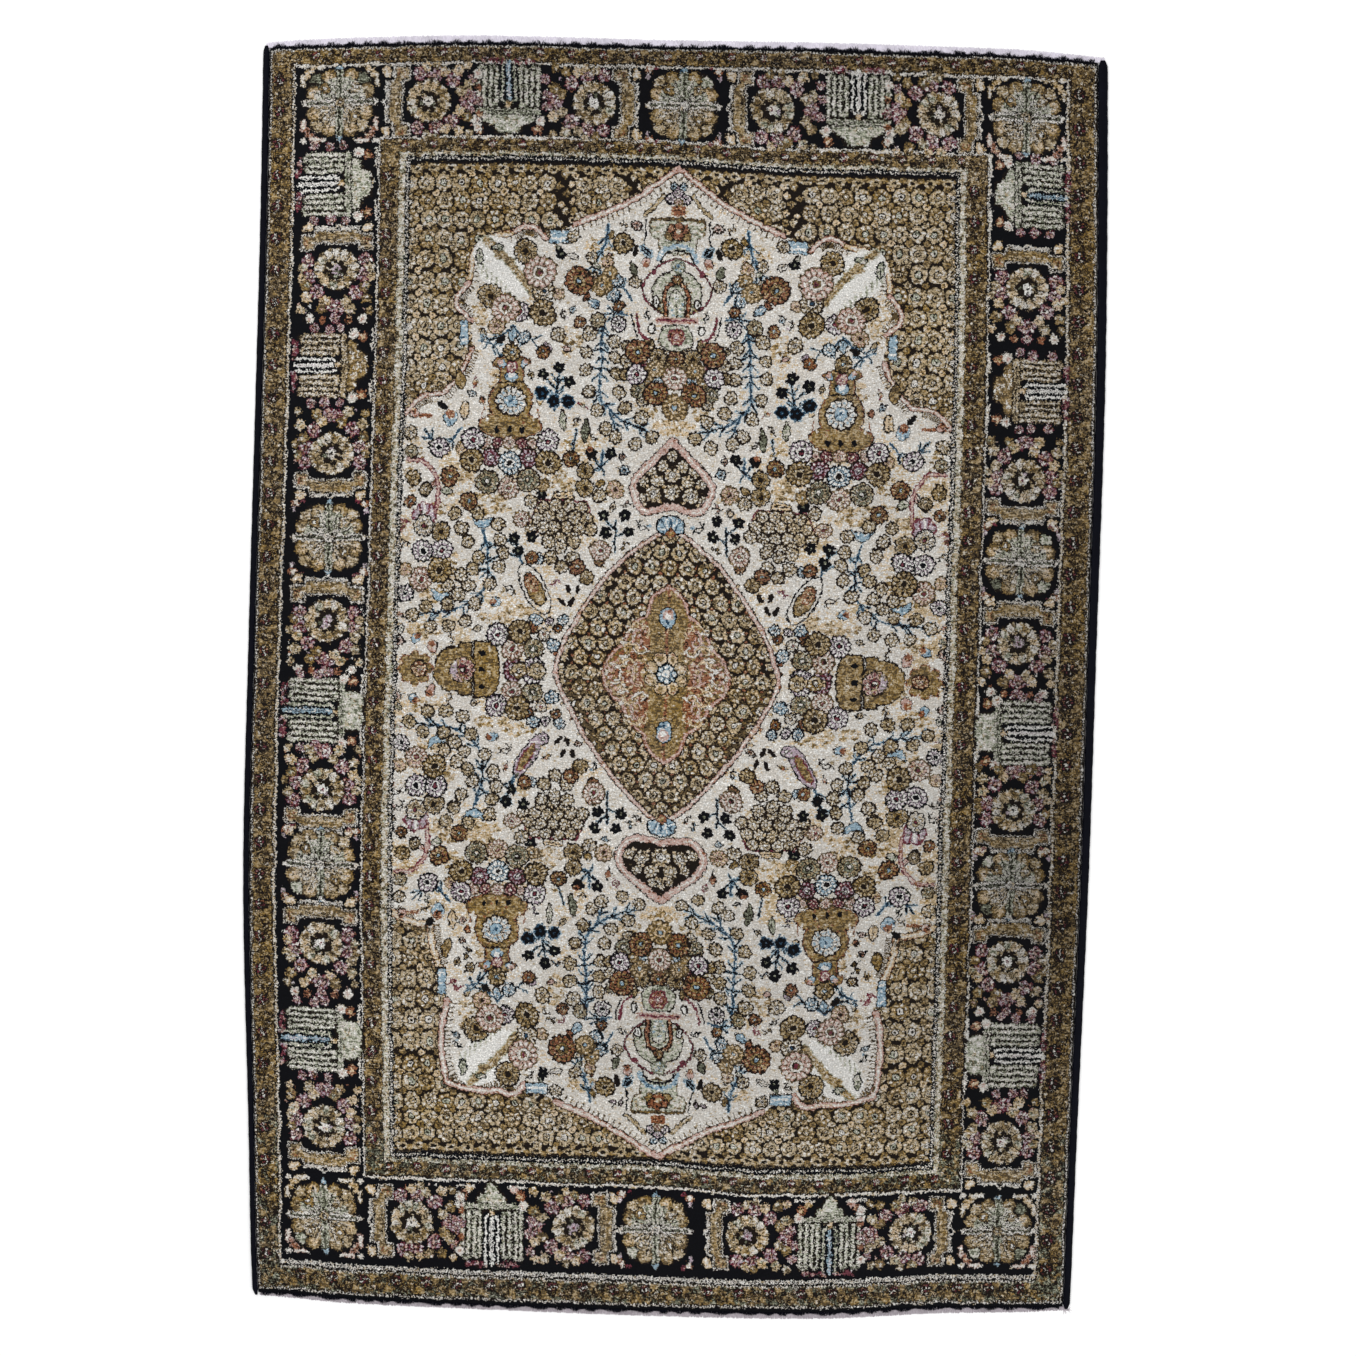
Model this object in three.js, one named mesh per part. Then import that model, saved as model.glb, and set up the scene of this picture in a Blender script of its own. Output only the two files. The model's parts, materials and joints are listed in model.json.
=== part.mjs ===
// A hand-knotted silk rug, lying flat.
//
// Units are millimetres, +Z is up, and the rug lies on z = 0 with its long side along Y.
// The rug is woven by hand, so no edge is straight: it is wider at the top than at the
// bottom, its sides bow outwards, and its ends dip. Two short tables hold that outline,
// and every piece takes its edges from them.
//
// Pieces, as a maker adds them:
//   rug_body                        the knotted pile on its woven foundation, one thick sheet
//   selvedge_left, selvedge_right   the overcast cords that bind the long sides
//   end_band_top, end_band_bottom   the flat-woven ends, each a comb of short warp bundles

import * as THREE from "three";

// ---------------------------------------------------------------- driving dimensions

const PILE_THICKNESS = 5;          // foundation and silk pile together
const SHOULDER_INSET = 1.4;        // how far the pile's edge rounds in at its top
const FOOT_INSET = 0.5;            // and at its underside
const SELVEDGE_THICKNESS = 4.8;
const END_BAND_THICKNESS = 1.8;
const JOIN_GAP = 0.3;              // clearance between neighbouring pieces

const WARP_PITCH = 3.3;            // one visible rib of the flat-woven end
const WARPS_PER_TOOTH = 3;         // ribs that stay together in one tooth of the comb
const TOOTH_SLIT = 1.5;            // width of the slit between two teeth
const TOOTH_SHARE = 0.4;           // share of the band's depth that is slit into teeth
const END_BAND_SIDE_INSET = 4;     // the end bands stop this far inside the side edges

// Outer side edges: x of each edge at a height y along the rug, and each cord's width there.
const SIDE_ROWS = [
  { y: -905, left: -600, right: 565, leftCord: 7.4, rightCord: 10.0 },
  { y: -870, left: -607, right: 567, leftCord: 7.6, rightCord: 10.2 },
  { y: -640, left: -612.5, right: 576.5, leftCord: 8.0, rightCord: 10.6 },
  { y: -290, left: -620, right: 592.5, leftCord: 8.4, rightCord: 11.4 },
  { y: 50, left: -612.5, right: 604, leftCord: 8.8, rightCord: 12.2 },
  { y: 400, left: -602.5, right: 616, leftCord: 9.2, rightCord: 13.0 },
  { y: 655, left: -595.5, right: 619.5, leftCord: 9.4, rightCord: 13.8 },
  { y: 905, left: -591, right: 620, leftCord: 9.6, rightCord: 14.2 },
];

// Outer end edges: y of each edge at a place x across the rug, and each band's depth there.
const END_ROWS = [
  { x: -605, top: 908, bottom: -886, topBand: 7.0, bottomBand: 4.0 },
  { x: -560, top: 913, bottom: -890, topBand: 10.0, bottomBand: 7.0 },
  { x: -470, top: 917.5, bottom: -898.5, topBand: 11.5, bottomBand: 7.8 },
  { x: -280, top: 921, bottom: -907.5, topBand: 11.8, bottomBand: 8.4 },
  { x: -20, top: 914.5, bottom: -917.5, topBand: 11.2, bottomBand: 9.2 },
  { x: 210, top: 910.5, bottom: -921, topBand: 11.4, bottomBand: 9.6 },
  { x: 370, top: 905.5, bottom: -913.5, topBand: 11.6, bottomBand: 10.0 },
  { x: 495, top: 900.5, bottom: -911.5, topBand: 11.0, bottomBand: 8.0 },
  { x: 620, top: 888.5, bottom: -905.5, topBand: 9.0, bottomBand: 4.0 },
];

const SIDE_STEPS = 26;             // stations along each long side
const END_STEPS = 18;              // stations along each end

// ---------------------------------------------------------------- reading the tables

// A smooth curve through one column of a table: cubic pieces whose slope at a row
// is that of the chord between the row's neighbours.
function readTable(rows, key, column, at) {
  const last = rows.length - 1;
  const slopeAt = (i) => {
    const before = rows[Math.max(i - 1, 0)];
    const after = rows[Math.min(i + 1, last)];
    return (after[column] - before[column]) / (after[key] - before[key]);
  };
  let i = 0;
  while (i < last - 1 && at > rows[i + 1][key]) {
    i += 1;
  }
  const span = rows[i + 1][key] - rows[i][key];
  const t = THREE.MathUtils.clamp((at - rows[i][key]) / span, 0, 1);
  const t2 = t * t;
  const t3 = t2 * t;
  return (2 * t3 - 3 * t2 + 1) * rows[i][column]
    + (t3 - 2 * t2 + t) * span * slopeAt(i)
    + (3 * t2 - 2 * t3) * rows[i + 1][column]
    + (t3 - t2) * span * slopeAt(i + 1);
}

const side = (column) => (y) => readTable(SIDE_ROWS, "y", column, y);
const end = (column) => (x) => readTable(END_ROWS, "x", column, x);

const outerLeft = side("left");
const outerRight = side("right");
const leftCordWidth = side("leftCord");
const rightCordWidth = side("rightCord");
const outerTop = end("top");
const outerBottom = end("bottom");
const topBandDepth = end("topBand");
const bottomBandDepth = end("bottomBand");

// The pile's own edges, inside the cords and the end bands.
const bodyLeft = (y) => outerLeft(y) + leftCordWidth(y) + JOIN_GAP;
const bodyRight = (y) => outerRight(y) - rightCordWidth(y) - JOIN_GAP;
const bodyTop = (x) => outerTop(x) - topBandDepth(x) - JOIN_GAP;
const bodyBottom = (x) => outerBottom(x) + bottomBandDepth(x) + JOIN_GAP;

// ---------------------------------------------------------------- outlines and lofts

// Where a side edge x(y) meets an end edge y(x).
function cornerOf(sideEdge, endEdge, startY) {
  let y = startY;
  let x = sideEdge(y);
  for (let pass = 0; pass < 6; pass += 1) {
    y = endEdge(x);
    x = sideEdge(y);
  }
  return new THREE.Vector2(x, y);
}

// The anticlockwise outline between four edges, all drawn in by one inset.
function outlineBetween(edges, inset) {
  const left = (y) => edges.left(y) + inset;
  const right = (y) => edges.right(y) - inset;
  const top = (x) => edges.top(x) - inset;
  const bottom = (x) => edges.bottom(x) + inset;
  const bottomLeft = cornerOf(left, bottom, SIDE_ROWS[0].y);
  const bottomRight = cornerOf(right, bottom, SIDE_ROWS[0].y);
  const topRight = cornerOf(right, top, SIDE_ROWS[SIDE_ROWS.length - 1].y);
  const topLeft = cornerOf(left, top, SIDE_ROWS[SIDE_ROWS.length - 1].y);
  const points = [];
  for (let i = 0; i < END_STEPS; i += 1) {
    const x = THREE.MathUtils.lerp(bottomLeft.x, bottomRight.x, i / END_STEPS);
    points.push(new THREE.Vector2(x, bottom(x)));
  }
  for (let i = 0; i < SIDE_STEPS; i += 1) {
    const y = THREE.MathUtils.lerp(bottomRight.y, topRight.y, i / SIDE_STEPS);
    points.push(new THREE.Vector2(right(y), y));
  }
  for (let i = 0; i < END_STEPS; i += 1) {
    const x = THREE.MathUtils.lerp(topRight.x, topLeft.x, i / END_STEPS);
    points.push(new THREE.Vector2(x, top(x)));
  }
  for (let i = 0; i < SIDE_STEPS; i += 1) {
    const y = THREE.MathUtils.lerp(topLeft.y, bottomLeft.y, i / SIDE_STEPS);
    points.push(new THREE.Vector2(left(y), y));
  }
  return points;
}

// A closed body through rings of equally many points, capped at the first and last ring.
// capFaces are the last ring's cap, as index triples that face away from the body.
function loft(rings, capFaces) {
  const count = rings[0].length;
  const positions = [];
  for (const ring of rings) {
    for (const point of ring) {
      positions.push(point.x, point.y, point.z);
    }
  }
  const indices = [];
  for (let r = 0; r < rings.length - 1; r += 1) {
    for (let i = 0; i < count; i += 1) {
      const next = (i + 1) % count;
      const a = r * count + i;
      const b = r * count + next;
      const c = a + count;
      const d = b + count;
      indices.push(a, b, d, a, d, c);
    }
  }
  const lastRing = (rings.length - 1) * count;
  for (const [a, b, c] of capFaces) {
    indices.push(a, c, b);
    indices.push(lastRing + a, lastRing + b, lastRing + c);
  }
  const geometry = new THREE.BufferGeometry();
  geometry.setAttribute("position", new THREE.Float32BufferAttribute(positions, 3));
  geometry.setIndex(indices);
  geometry.computeVertexNormals();
  return geometry;
}

const atHeight = (outline, z) => outline.map((p) => new THREE.Vector3(p.x, p.y, z));

// ---------------------------------------------------------------- pieces

// The pile and its foundation: one sheet with a rounded shoulder all round.
function makeBody() {
  const edges = { left: bodyLeft, right: bodyRight, top: bodyTop, bottom: bodyBottom };
  const profile = [
    { z: 0, inset: FOOT_INSET },
    { z: FOOT_INSET, inset: 0 },
    { z: PILE_THICKNESS - SHOULDER_INSET, inset: 0 },
    { z: PILE_THICKNESS - SHOULDER_INSET * 0.3, inset: SHOULDER_INSET * 0.3 },
    { z: PILE_THICKNESS, inset: SHOULDER_INSET },
  ];
  const outlines = profile.map((row) => outlineBetween(edges, row.inset));
  const rings = outlines.map((outline, i) => atHeight(outline, profile[i].z));
  const cap = THREE.ShapeUtils.triangulateShape(outlines[0], []);
  return loft(rings, cap);
}

// Half-width and height of an overcast cord's section, as shares of its width and
// thickness: an oval pressed flat where it lies on the floor.
const CORD_SECTION = [
  { across: -0.6, up: 0 },
  { across: 0.6, up: 0 },
  { across: 0.95, up: 0.22 },
  { across: 1, up: 0.5 },
  { across: 0.85, up: 0.8 },
  { across: 0.4, up: 1 },
  { across: -0.4, up: 1 },
  { across: -0.85, up: 0.8 },
  { across: -1, up: 0.5 },
  { across: -0.95, up: 0.22 },
];

// One overcast cord from the bottom end of the pile to its top end.
function makeSelvedge(centreX, cordWidth) {
  const low = cornerOf(centreX, bodyBottom, SIDE_ROWS[0].y).y;
  const high = cornerOf(centreX, bodyTop, SIDE_ROWS[SIDE_ROWS.length - 1].y).y;
  const rings = [];
  for (let i = 0; i <= SIDE_STEPS; i += 1) {
    const y = THREE.MathUtils.lerp(low, high, i / SIDE_STEPS);
    const half = cordWidth(y) / 2;
    rings.push(CORD_SECTION.map((corner) => new THREE.Vector3(
      centreX(y) + corner.across * half,
      y,
      corner.up * SELVEDGE_THICKNESS,
    )));
  }
  // The section runs anticlockwise seen from -Y, so the rings go from high to low.
  rings.reverse();
  const flat = CORD_SECTION.map((corner) => new THREE.Vector2(corner.across, corner.up));
  return loft(rings, THREE.ShapeUtils.triangulateShape(flat, []));
}

// One flat-woven end: a strip along the pile's edge whose outer part is slit into teeth.
// outward is +1 at the top end and -1 at the bottom end.
function makeEndBand(outerEdge, bandDepth, outward) {
  const startX = cornerOf(outerLeft, outerEdge, outerEdge(0)).x + END_BAND_SIDE_INSET;
  const endX = cornerOf(outerRight, outerEdge, outerEdge(0)).x - END_BAND_SIDE_INSET;
  const toothPitch = WARP_PITCH * WARPS_PER_TOOTH;
  const teeth = Math.round((endX - startX) / toothPitch);
  const step = (endX - startX) / teeth;
  const tip = (x) => new THREE.Vector2(x, outerEdge(x));
  const root = (x) => new THREE.Vector2(x, outerEdge(x) - outward * bandDepth(x) * TOOTH_SHARE);
  const inner = (x) => new THREE.Vector2(x, outerEdge(x) - outward * bandDepth(x));
  const outline = [];
  for (let i = 0; i < teeth; i += 1) {
    const from = startX + i * step;
    const to = from + step - TOOTH_SLIT;
    outline.push(tip(from), tip(to));
    if (i < teeth - 1) {
      outline.push(root(to), root(from + step));
    }
  }
  const lastX = startX + teeth * step - TOOTH_SLIT;
  for (let i = 0; i <= END_STEPS; i += 1) {
    outline.push(inner(THREE.MathUtils.lerp(lastX, startX, i / END_STEPS)));
  }
  // The points run clockwise along the top end and anticlockwise along the bottom end.
  if (outward > 0) {
    outline.reverse();
  }
  const rings = [atHeight(outline, 0), atHeight(outline, END_BAND_THICKNESS)];
  return loft(rings, THREE.ShapeUtils.triangulateShape(outline, []));
}

// ---------------------------------------------------------------- the rug

const silk = { roughness: 0.62, metalness: 0 };
const pileMaterial = new THREE.MeshStandardMaterial({ color: "#8d7f68", ...silk });
const cordMaterial = new THREE.MeshStandardMaterial({ color: "#1a2033", ...silk });
const warpMaterial = new THREE.MeshStandardMaterial({ color: "#b9aeb6", ...silk });

function addPiece(group, name, geometry, material) {
  const mesh = new THREE.Mesh(geometry, material);
  mesh.name = name;
  group.add(mesh);
}

const leftCordCentre = (y) => outerLeft(y) + leftCordWidth(y) / 2;
const rightCordCentre = (y) => outerRight(y) - rightCordWidth(y) / 2;

const rug = new THREE.Group();
addPiece(rug, "rug_body", makeBody(), pileMaterial);
addPiece(rug, "selvedge_left", makeSelvedge(leftCordCentre, leftCordWidth), cordMaterial);
addPiece(rug, "selvedge_right", makeSelvedge(rightCordCentre, rightCordWidth), cordMaterial);
addPiece(rug, "end_band_top", makeEndBand(outerTop, topBandDepth, 1), warpMaterial);
addPiece(rug, "end_band_bottom", makeEndBand(outerBottom, bottomBandDepth, -1), warpMaterial);

export default rug;
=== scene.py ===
"""A hand-knotted silk rug with a medallion field, lying flat on a pale floor.

The rug's outline comes from the same two short tables as the CAD part. The pattern is drawn
in code on a chart of knots, as a weaver's chart is, and the chart is stored on the faces of
the pile, where the pile's material reads one dye for each knot.
Lengths are in millimetres until a mesh is made, and metres from there on.
"""

import json
import math

import bpy
import numpy as np
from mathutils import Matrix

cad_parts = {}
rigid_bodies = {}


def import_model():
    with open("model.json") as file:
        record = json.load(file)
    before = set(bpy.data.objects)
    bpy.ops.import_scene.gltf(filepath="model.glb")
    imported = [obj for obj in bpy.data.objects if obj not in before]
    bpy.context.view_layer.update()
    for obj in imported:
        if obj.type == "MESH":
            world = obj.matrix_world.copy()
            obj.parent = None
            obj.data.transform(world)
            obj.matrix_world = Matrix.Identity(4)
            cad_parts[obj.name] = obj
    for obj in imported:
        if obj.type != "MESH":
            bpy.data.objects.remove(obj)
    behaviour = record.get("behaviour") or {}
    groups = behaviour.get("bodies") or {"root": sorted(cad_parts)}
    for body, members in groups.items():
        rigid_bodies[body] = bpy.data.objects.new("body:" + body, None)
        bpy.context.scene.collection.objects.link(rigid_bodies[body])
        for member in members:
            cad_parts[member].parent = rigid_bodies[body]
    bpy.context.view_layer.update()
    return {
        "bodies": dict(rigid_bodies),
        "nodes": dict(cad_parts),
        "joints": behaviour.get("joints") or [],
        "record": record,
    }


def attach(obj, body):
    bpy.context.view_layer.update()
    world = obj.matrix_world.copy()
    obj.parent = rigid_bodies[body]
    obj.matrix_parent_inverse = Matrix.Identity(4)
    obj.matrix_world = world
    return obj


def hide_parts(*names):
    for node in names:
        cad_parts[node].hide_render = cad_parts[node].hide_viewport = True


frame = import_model()


# ---------------------------------------------------------------- the weaver's chart
QUADS_ACROSS = 165
QUADS_ALONG = 251
KNOTS_PER_QUAD = 12
COLUMNS = QUADS_ACROSS * KNOTS_PER_QUAD
ROWS = QUADS_ALONG * KNOTS_PER_QUAD
CHART_WIDTH = 1190.0
CHART_LENGTH = 1806.0
KNOT_X = CHART_WIDTH / COLUMNS
KNOT_Y = CHART_LENGTH / ROWS

(NAVY, BARK, UMBER, OCHRE, SAND, IVORY, CELADON, MOSS,
 ROSE, RUST, WINE, LILAC, SKY, TEAL, PEACH, WHITE) = range(16)

# the colour of each dye in daylight, 0 to 255, in the order of the names above
DYES = [
    (8, 9, 14), (28, 21, 16), (88, 73, 50), (143, 116, 66), (176, 157, 123), (208, 202, 193),
    (176, 179, 159), (104, 106, 88), (192, 162, 152), (138, 88, 62), (108, 48, 60), (174, 156, 167),
    (146, 170, 184), (38, 66, 88), (206, 183, 150), (226, 224, 219)]

# the dye that each one is swapped for where the silk is soiled, and where it is rubbed pale
DARKER = [NAVY, NAVY, BARK, UMBER, UMBER, SAND, MOSS, BARK,
          RUST, BARK, BARK, MOSS, TEAL, NAVY, OCHRE, IVORY]
PALER = [NAVY, UMBER, OCHRE, SAND, IVORY, WHITE, IVORY, CELADON,
         IVORY, PEACH, ROSE, WHITE, WHITE, SKY, IVORY, WHITE]

dice = np.random.default_rng(7)


class Pen:
    """Draws inks on the chart in a motif's own millimetres."""

    def __init__(self, chart, origin=(0.0, 0.0), frame=((1.0, 0.0), (0.0, 1.0))):
        self.chart = chart
        self.origin = np.array(origin, float)
        self.frame = np.array(frame, float)
        self.back = np.linalg.inv(self.frame)
        self.size = math.sqrt(abs(np.linalg.det(self.frame)))

    def at(self, x, y, turn=0.0, scale=1.0, flip=(1, 1)):
        """A pen moved to a point, turned, scaled and flipped."""
        c, s = math.cos(turn) * scale, math.sin(turn) * scale
        step = np.array([[c * flip[0], -s * flip[1]], [s * flip[0], c * flip[1]]])
        return Pen(self.chart, self.origin + self.frame @ (x, y), self.frame @ step)

    def fill(self, inside, reach, ink, x=0.0, y=0.0):
        """Inks the knots within reach of a point where a test of their two coordinates holds."""
        centre = self.origin + self.frame @ (x, y)
        reach = reach * self.size + 1.0
        left = max(0, int((centre[0] - reach + CHART_WIDTH / 2) / KNOT_X))
        right = min(COLUMNS, int((centre[0] + reach + CHART_WIDTH / 2) / KNOT_X) + 1)
        low = max(0, int((centre[1] - reach + CHART_LENGTH / 2) / KNOT_Y))
        high = min(ROWS, int((centre[1] + reach + CHART_LENGTH / 2) / KNOT_Y) + 1)
        if left >= right or low >= high:
            return
        dx = (np.arange(left, right) + 0.5) * KNOT_X - CHART_WIDTH / 2 - self.origin[0]
        dy = (np.arange(low, high)[:, None] + 0.5) * KNOT_Y - CHART_LENGTH / 2 - self.origin[1]
        u = self.back[0, 0] * dx + self.back[0, 1] * dy
        v = self.back[1, 0] * dx + self.back[1, 1] * dy
        self.chart[low:high, left:right][inside(u, v)] = ink

    def disc(self, x, y, ink, rx, ry=None):
        ry = ry or rx
        self.fill(lambda u, v: ((u - x) / rx) ** 2 + ((v - y) / ry) ** 2 < 1, max(rx, ry), ink, x, y)

    def box(self, x0, y0, x1, y1, ink):
        mx, my = (x0 + x1) / 2, (y0 + y1) / 2
        hx, hy = abs(x1 - x0) / 2, abs(y1 - y0) / 2
        self.fill(lambda u, v: (abs(u - mx) < hx) & (abs(v - my) < hy), math.hypot(hx, hy), ink, mx, my)

    def bloom(self, x, y, ink, r, petals=8, depth=0.2, turn=0.0):
        """A disc with rounded petals round its edge."""
        def inside(u, v):
            around = np.arctan2(v - y, u - x) - turn
            edge = r * (1 - depth + depth * np.abs(np.cos(around * petals / 2)) ** 0.7)
            return np.hypot(u - x, v - y) < edge
        self.fill(inside, r, ink, x, y)

    def rays(self, x, y, ink, near, far, count, width, turn=0.0):
        """Straight strokes outwards, between two distances from a point."""
        def inside(u, v):
            rho = np.hypot(u - x, v - y)
            around = (np.arctan2(v - y, u - x) - turn) * count / (2 * math.pi)
            off = np.abs(around - np.round(around)) * 2 * math.pi / count
            return (rho > near) & (rho < far) & (np.sin(np.minimum(off, 1.5)) * rho < width / 2)
        self.fill(inside, far, ink, x, y)

    def line(self, points, ink, width):
        for (ax, ay), (bx, by) in zip(points, points[1:]):
            length = math.hypot(bx - ax, by - ay) + 1e-9
            cx, cy = (bx - ax) / length, (by - ay) / length

            def inside(u, v, ax=ax, ay=ay, cx=cx, cy=cy, length=length):
                along = np.clip((u - ax) * cx + (v - ay) * cy, 0, length)
                return np.hypot(u - ax - along * cx, v - ay - along * cy) < width / 2
            self.fill(inside, length / 2 + width, ink, (ax + bx) / 2, (ay + by) / 2)

    def lines(self, points, *layers):
        """Lines laid one on another along a path, each with its ink and width."""
        for ink, width in layers:
            self.line(points, ink, width)

    def discs(self, x, y, *layers):
        """Discs laid one on another at a point, each with its ink and one or two radii."""
        for ink, *radii in layers:
            self.disc(x, y, ink, *radii)

    def blooms(self, x, y, petals, depth, *layers):
        """Blooms laid one on another at a point, each with its ink and radius."""
        for ink, r in layers:
            self.bloom(x, y, ink, r, petals, depth)

    def spokes(self, count, shift=0.0, turn=0.0, x=0.0, y=0.0):
        """The pen turned to equal steps round a point."""
        return [self.at(x, y, (k + shift) * 2 * math.pi / count + turn) for k in range(count)]

    def shape(self, points, ink, edge=None, width=1.6):
        """A closed outline filled with one ink and edged with another."""
        ring = list(points) + [points[0]]

        def inside(u, v):
            odd = np.zeros(np.broadcast(u, v).shape, bool)
            for (ax, ay), (bx, by) in zip(ring, ring[1:]):
                if ay != by:
                    crosses = (v > min(ay, by)) & (v <= max(ay, by))
                    odd ^= crosses & (u < ax + (v - ay) * (bx - ax) / (by - ay))
            return odd
        xs, ys = [p[0] for p in points], [p[1] for p in points]
        mx, my = (min(xs) + max(xs)) / 2, (min(ys) + max(ys)) / 2
        self.fill(inside, math.hypot(max(xs) - mx, max(ys) - my), ink, mx, my)
        if edge is not None:
            self.line(ring, edge, width)


def between(p, q, r, s, t):
    """A smooth step from q to r, bent by the values before and after them."""
    straight = 2 * q + (r - p) * t
    return 0.5 * (straight + (2 * p - 5 * q + 4 * r - s) * t * t + (3 * q - p - 3 * r + s) * t ** 3)


def smooth(points, closed=False, steps=5):
    """Rounds an outline through its own points."""
    n = len(points)
    result = []
    for i in range(n if closed else n - 1):
        if closed:
            near = [points[(i + k - 1) % n] for k in range(4)]
        else:
            near = points[max(i - 1, 0)], points[i], points[i + 1], points[min(i + 2, n - 1)]
        for k in range(steps):
            result.append(tuple(between(*values, k / steps) for values in zip(*near)))
    return result if closed else result + [points[-1]]


def mirrored(half):
    """A whole outline from its right or left half."""
    return half + [(-x, y) for x, y in reversed(half)]


def around(count, radius, turn=0.0):
    """Places at equal steps round a circle."""
    for k in range(count):
        a = turn + 2 * math.pi * k / count
        yield radius * math.cos(a), radius * math.sin(a)


def pick(*inks):
    """One of several inks, by the throw of the dice."""
    return inks[dice.integers(len(inks))]


def flecks(pen, count, across, along, inks, rx, ry=None, keep=None):
    """Small discs strewn over a box, the inks in turn, only where a test keeps them."""
    for k in range(count):
        x, y = dice.uniform(*across), dice.uniform(*along)
        if keep is None or keep(x, y):
            pen.disc(x, y, inks[k % len(inks)], rx, ry)


def under(x, y, corners, gap=0.0):
    """Whether a point lies below an outline that runs from left to right."""
    return y < np.interp(x, [p[0] for p in corners], [p[1] for p in corners]) - gap


# ---------------------------------------------------------------- small flowers and leaves
SMALL_FLOWER = 12


def flower(pen, x, y, r, inks, petals=10):
    """Rings of petals from the dark outline inwards, with dark lines between the petals."""
    edge, outer, inner, eye = inks
    small = r < SMALL_FLOWER
    turn = dice.uniform(0, 6.28)
    form = pen.at(x, y, dice.uniform(0, 3), 1.0, (dice.uniform(0.94, 1.06), dice.uniform(0.94, 1.06)))
    form.bloom(0, 0, edge, r + 1.3, petals, 0.15, turn)
    form.bloom(0, 0, outer, r - (1.2 if small else 1.4), petals, 0.17, turn)
    form.rays(0, 0, edge, r * 0.5, r, petals, 1.2 if small else 1.0 + 0.03 * r, turn + math.pi / petals)
    reach, dot = (0.66 * r, 0.13 * r) if small else (0.72 * r, 0.9 + 0.05 * r)
    for px, py in around(petals, reach, turn):
        form.disc(px, py, inner, dot)
    if small:
        form.discs(0, 0, (edge, r * 0.36), (inner, r * 0.36 - 1.2), (eye, r * 0.1 + 0.4))
        return
    form.disc(0, 0, edge, r * 0.47)
    form.bloom(0, 0, inner, r * 0.47 - 0.8, 7, 0.2, turn)
    form.discs(0, 0, (edge, r * 0.24 + 0.4), (eye, r * 0.11 + 0.5))


# edge, outer ring, inner ring and eye of each kind of flower
KINDS = {
    "beige": (BARK, SAND, SAND, WHITE), "ochre": (BARK, OCHRE, SAND, NAVY),
    "rust": (BARK, RUST, OCHRE, SKY), "pink": (UMBER, ROSE, IVORY, WINE),
    "lilac": (NAVY, LILAC, WHITE, WINE), "sky": (NAVY, SKY, WHITE, BARK),
    "green": (BARK, SAND, MOSS, IVORY), "wine": (BARK, WINE, ROSE, IVORY),
    "teal": (BARK, SAND, IVORY, TEAL), "gold": (UMBER, OCHRE, PEACH, SKY),
    "tan": (BARK, SAND, IVORY, BARK), "navy": (NAVY, LILAC, WHITE, NAVY),
    "ivory": (BARK, IVORY, SAND, WINE), "bark": (BARK, SAND, UMBER, IVORY),
    "sun": (BARK, OCHRE, SAND, BARK), "plum": (BARK, WINE, LILAC, WHITE),
    "blush": (UMBER, PEACH, ROSE, BARK), "olive": (BARK, SAND, OCHRE, BARK)}


def leaf(pen, x, y, length, width, turn, ink, edge=BARK):
    """A pointed leaf with a dark midrib."""
    tip = pen.at(x, y, turn)
    form = smooth([(-length / 2, 0), (-length / 6, width / 2), (length / 4, width / 2.6), (length / 2, 0),
                   (length / 4, -width / 2.6), (-length / 6, -width / 2)], True, 3)
    tip.shape(form, ink, edge, 1.9)
    tip.line([(-length / 2, 0), (length / 3, 0)], edge, 1.0)


def bud(pen, x, y, r, turn, cap, heart):
    """A closed blossom whose heart shows at one end."""
    tip = pen.at(x, y, turn)
    tip.disc(0, 0, BARK, r, r * 0.8)
    tip.disc(0.4, 0, cap, r - 1.3, r * 0.8 - 1.2)
    tip.disc(r * 0.45, 0, heart, r * 0.55, r * 0.5)


def peony(pen, x, y, r):
    """A small lilac and magenta spray flower on the navy border."""
    turn = dice.uniform(0, 6)
    pen.bloom(x, y, WINE, r, 7, 0.22, turn)
    for k, (dx, dy) in enumerate(around(7, 0.66 * r, turn)):
        pen.disc(x + dx, y + dy, (LILAC, ROSE, LILAC, WHITE)[k % 4], r * 0.21)
    pen.discs(x, y, (BARK, r * 0.4), (ROSE, r * 0.22))
    pen.disc(x + 0.9 * r * math.cos(turn), y + 0.9 * r * math.sin(turn), WHITE, r * 0.13)


def clump(pen, x, y, r):
    """A ragged ochre and peach leaf cluster between the spray flowers."""
    turn = dice.uniform(0, 6)
    pen.bloom(x, y, BARK, r + 1, 5, 0.3, turn)
    pen.bloom(x, y, pick(OCHRE, PEACH, SAND), r, 5, 0.35, turn)
    pen.disc(x + 2, y + 1, pick(SAND, IVORY, CELADON), r * 0.35)
    pen.line([(x - r * 0.6, y), (x + r * 0.5, y - 1)], BARK, 1.1)


def rose_bud(pen, x, y, r, eye_x, eye_y):
    """A small round blossom with a rose heart."""
    pen.blooms(x, y, 6, 0.3, (BARK, 9), (IVORY, r))
    pen.disc(eye_x, eye_y, ROSE, 2.6)


# ---------------------------------------------------------------- motifs of the main border
def square_ring(pen):
    """The lobes round the square rosette: four in its corners, and a ring of eight."""
    for lobe in pen.spokes(4, 0.5):
        lobe.disc(47, 0, BARK, 9, 11)
        lobe.disc(47, 0, pick(CELADON, SAND, MOSS, SAND), 7.6, 9.6)
    for lobe in pen.spokes(8, 0.5):
        lobe.discs(40, 0, (BARK, 12.6, 12), (OCHRE, 11.2, 10.6))
        lobe.disc(39, 1, pick(PEACH, SAND), 8, 6)


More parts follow.
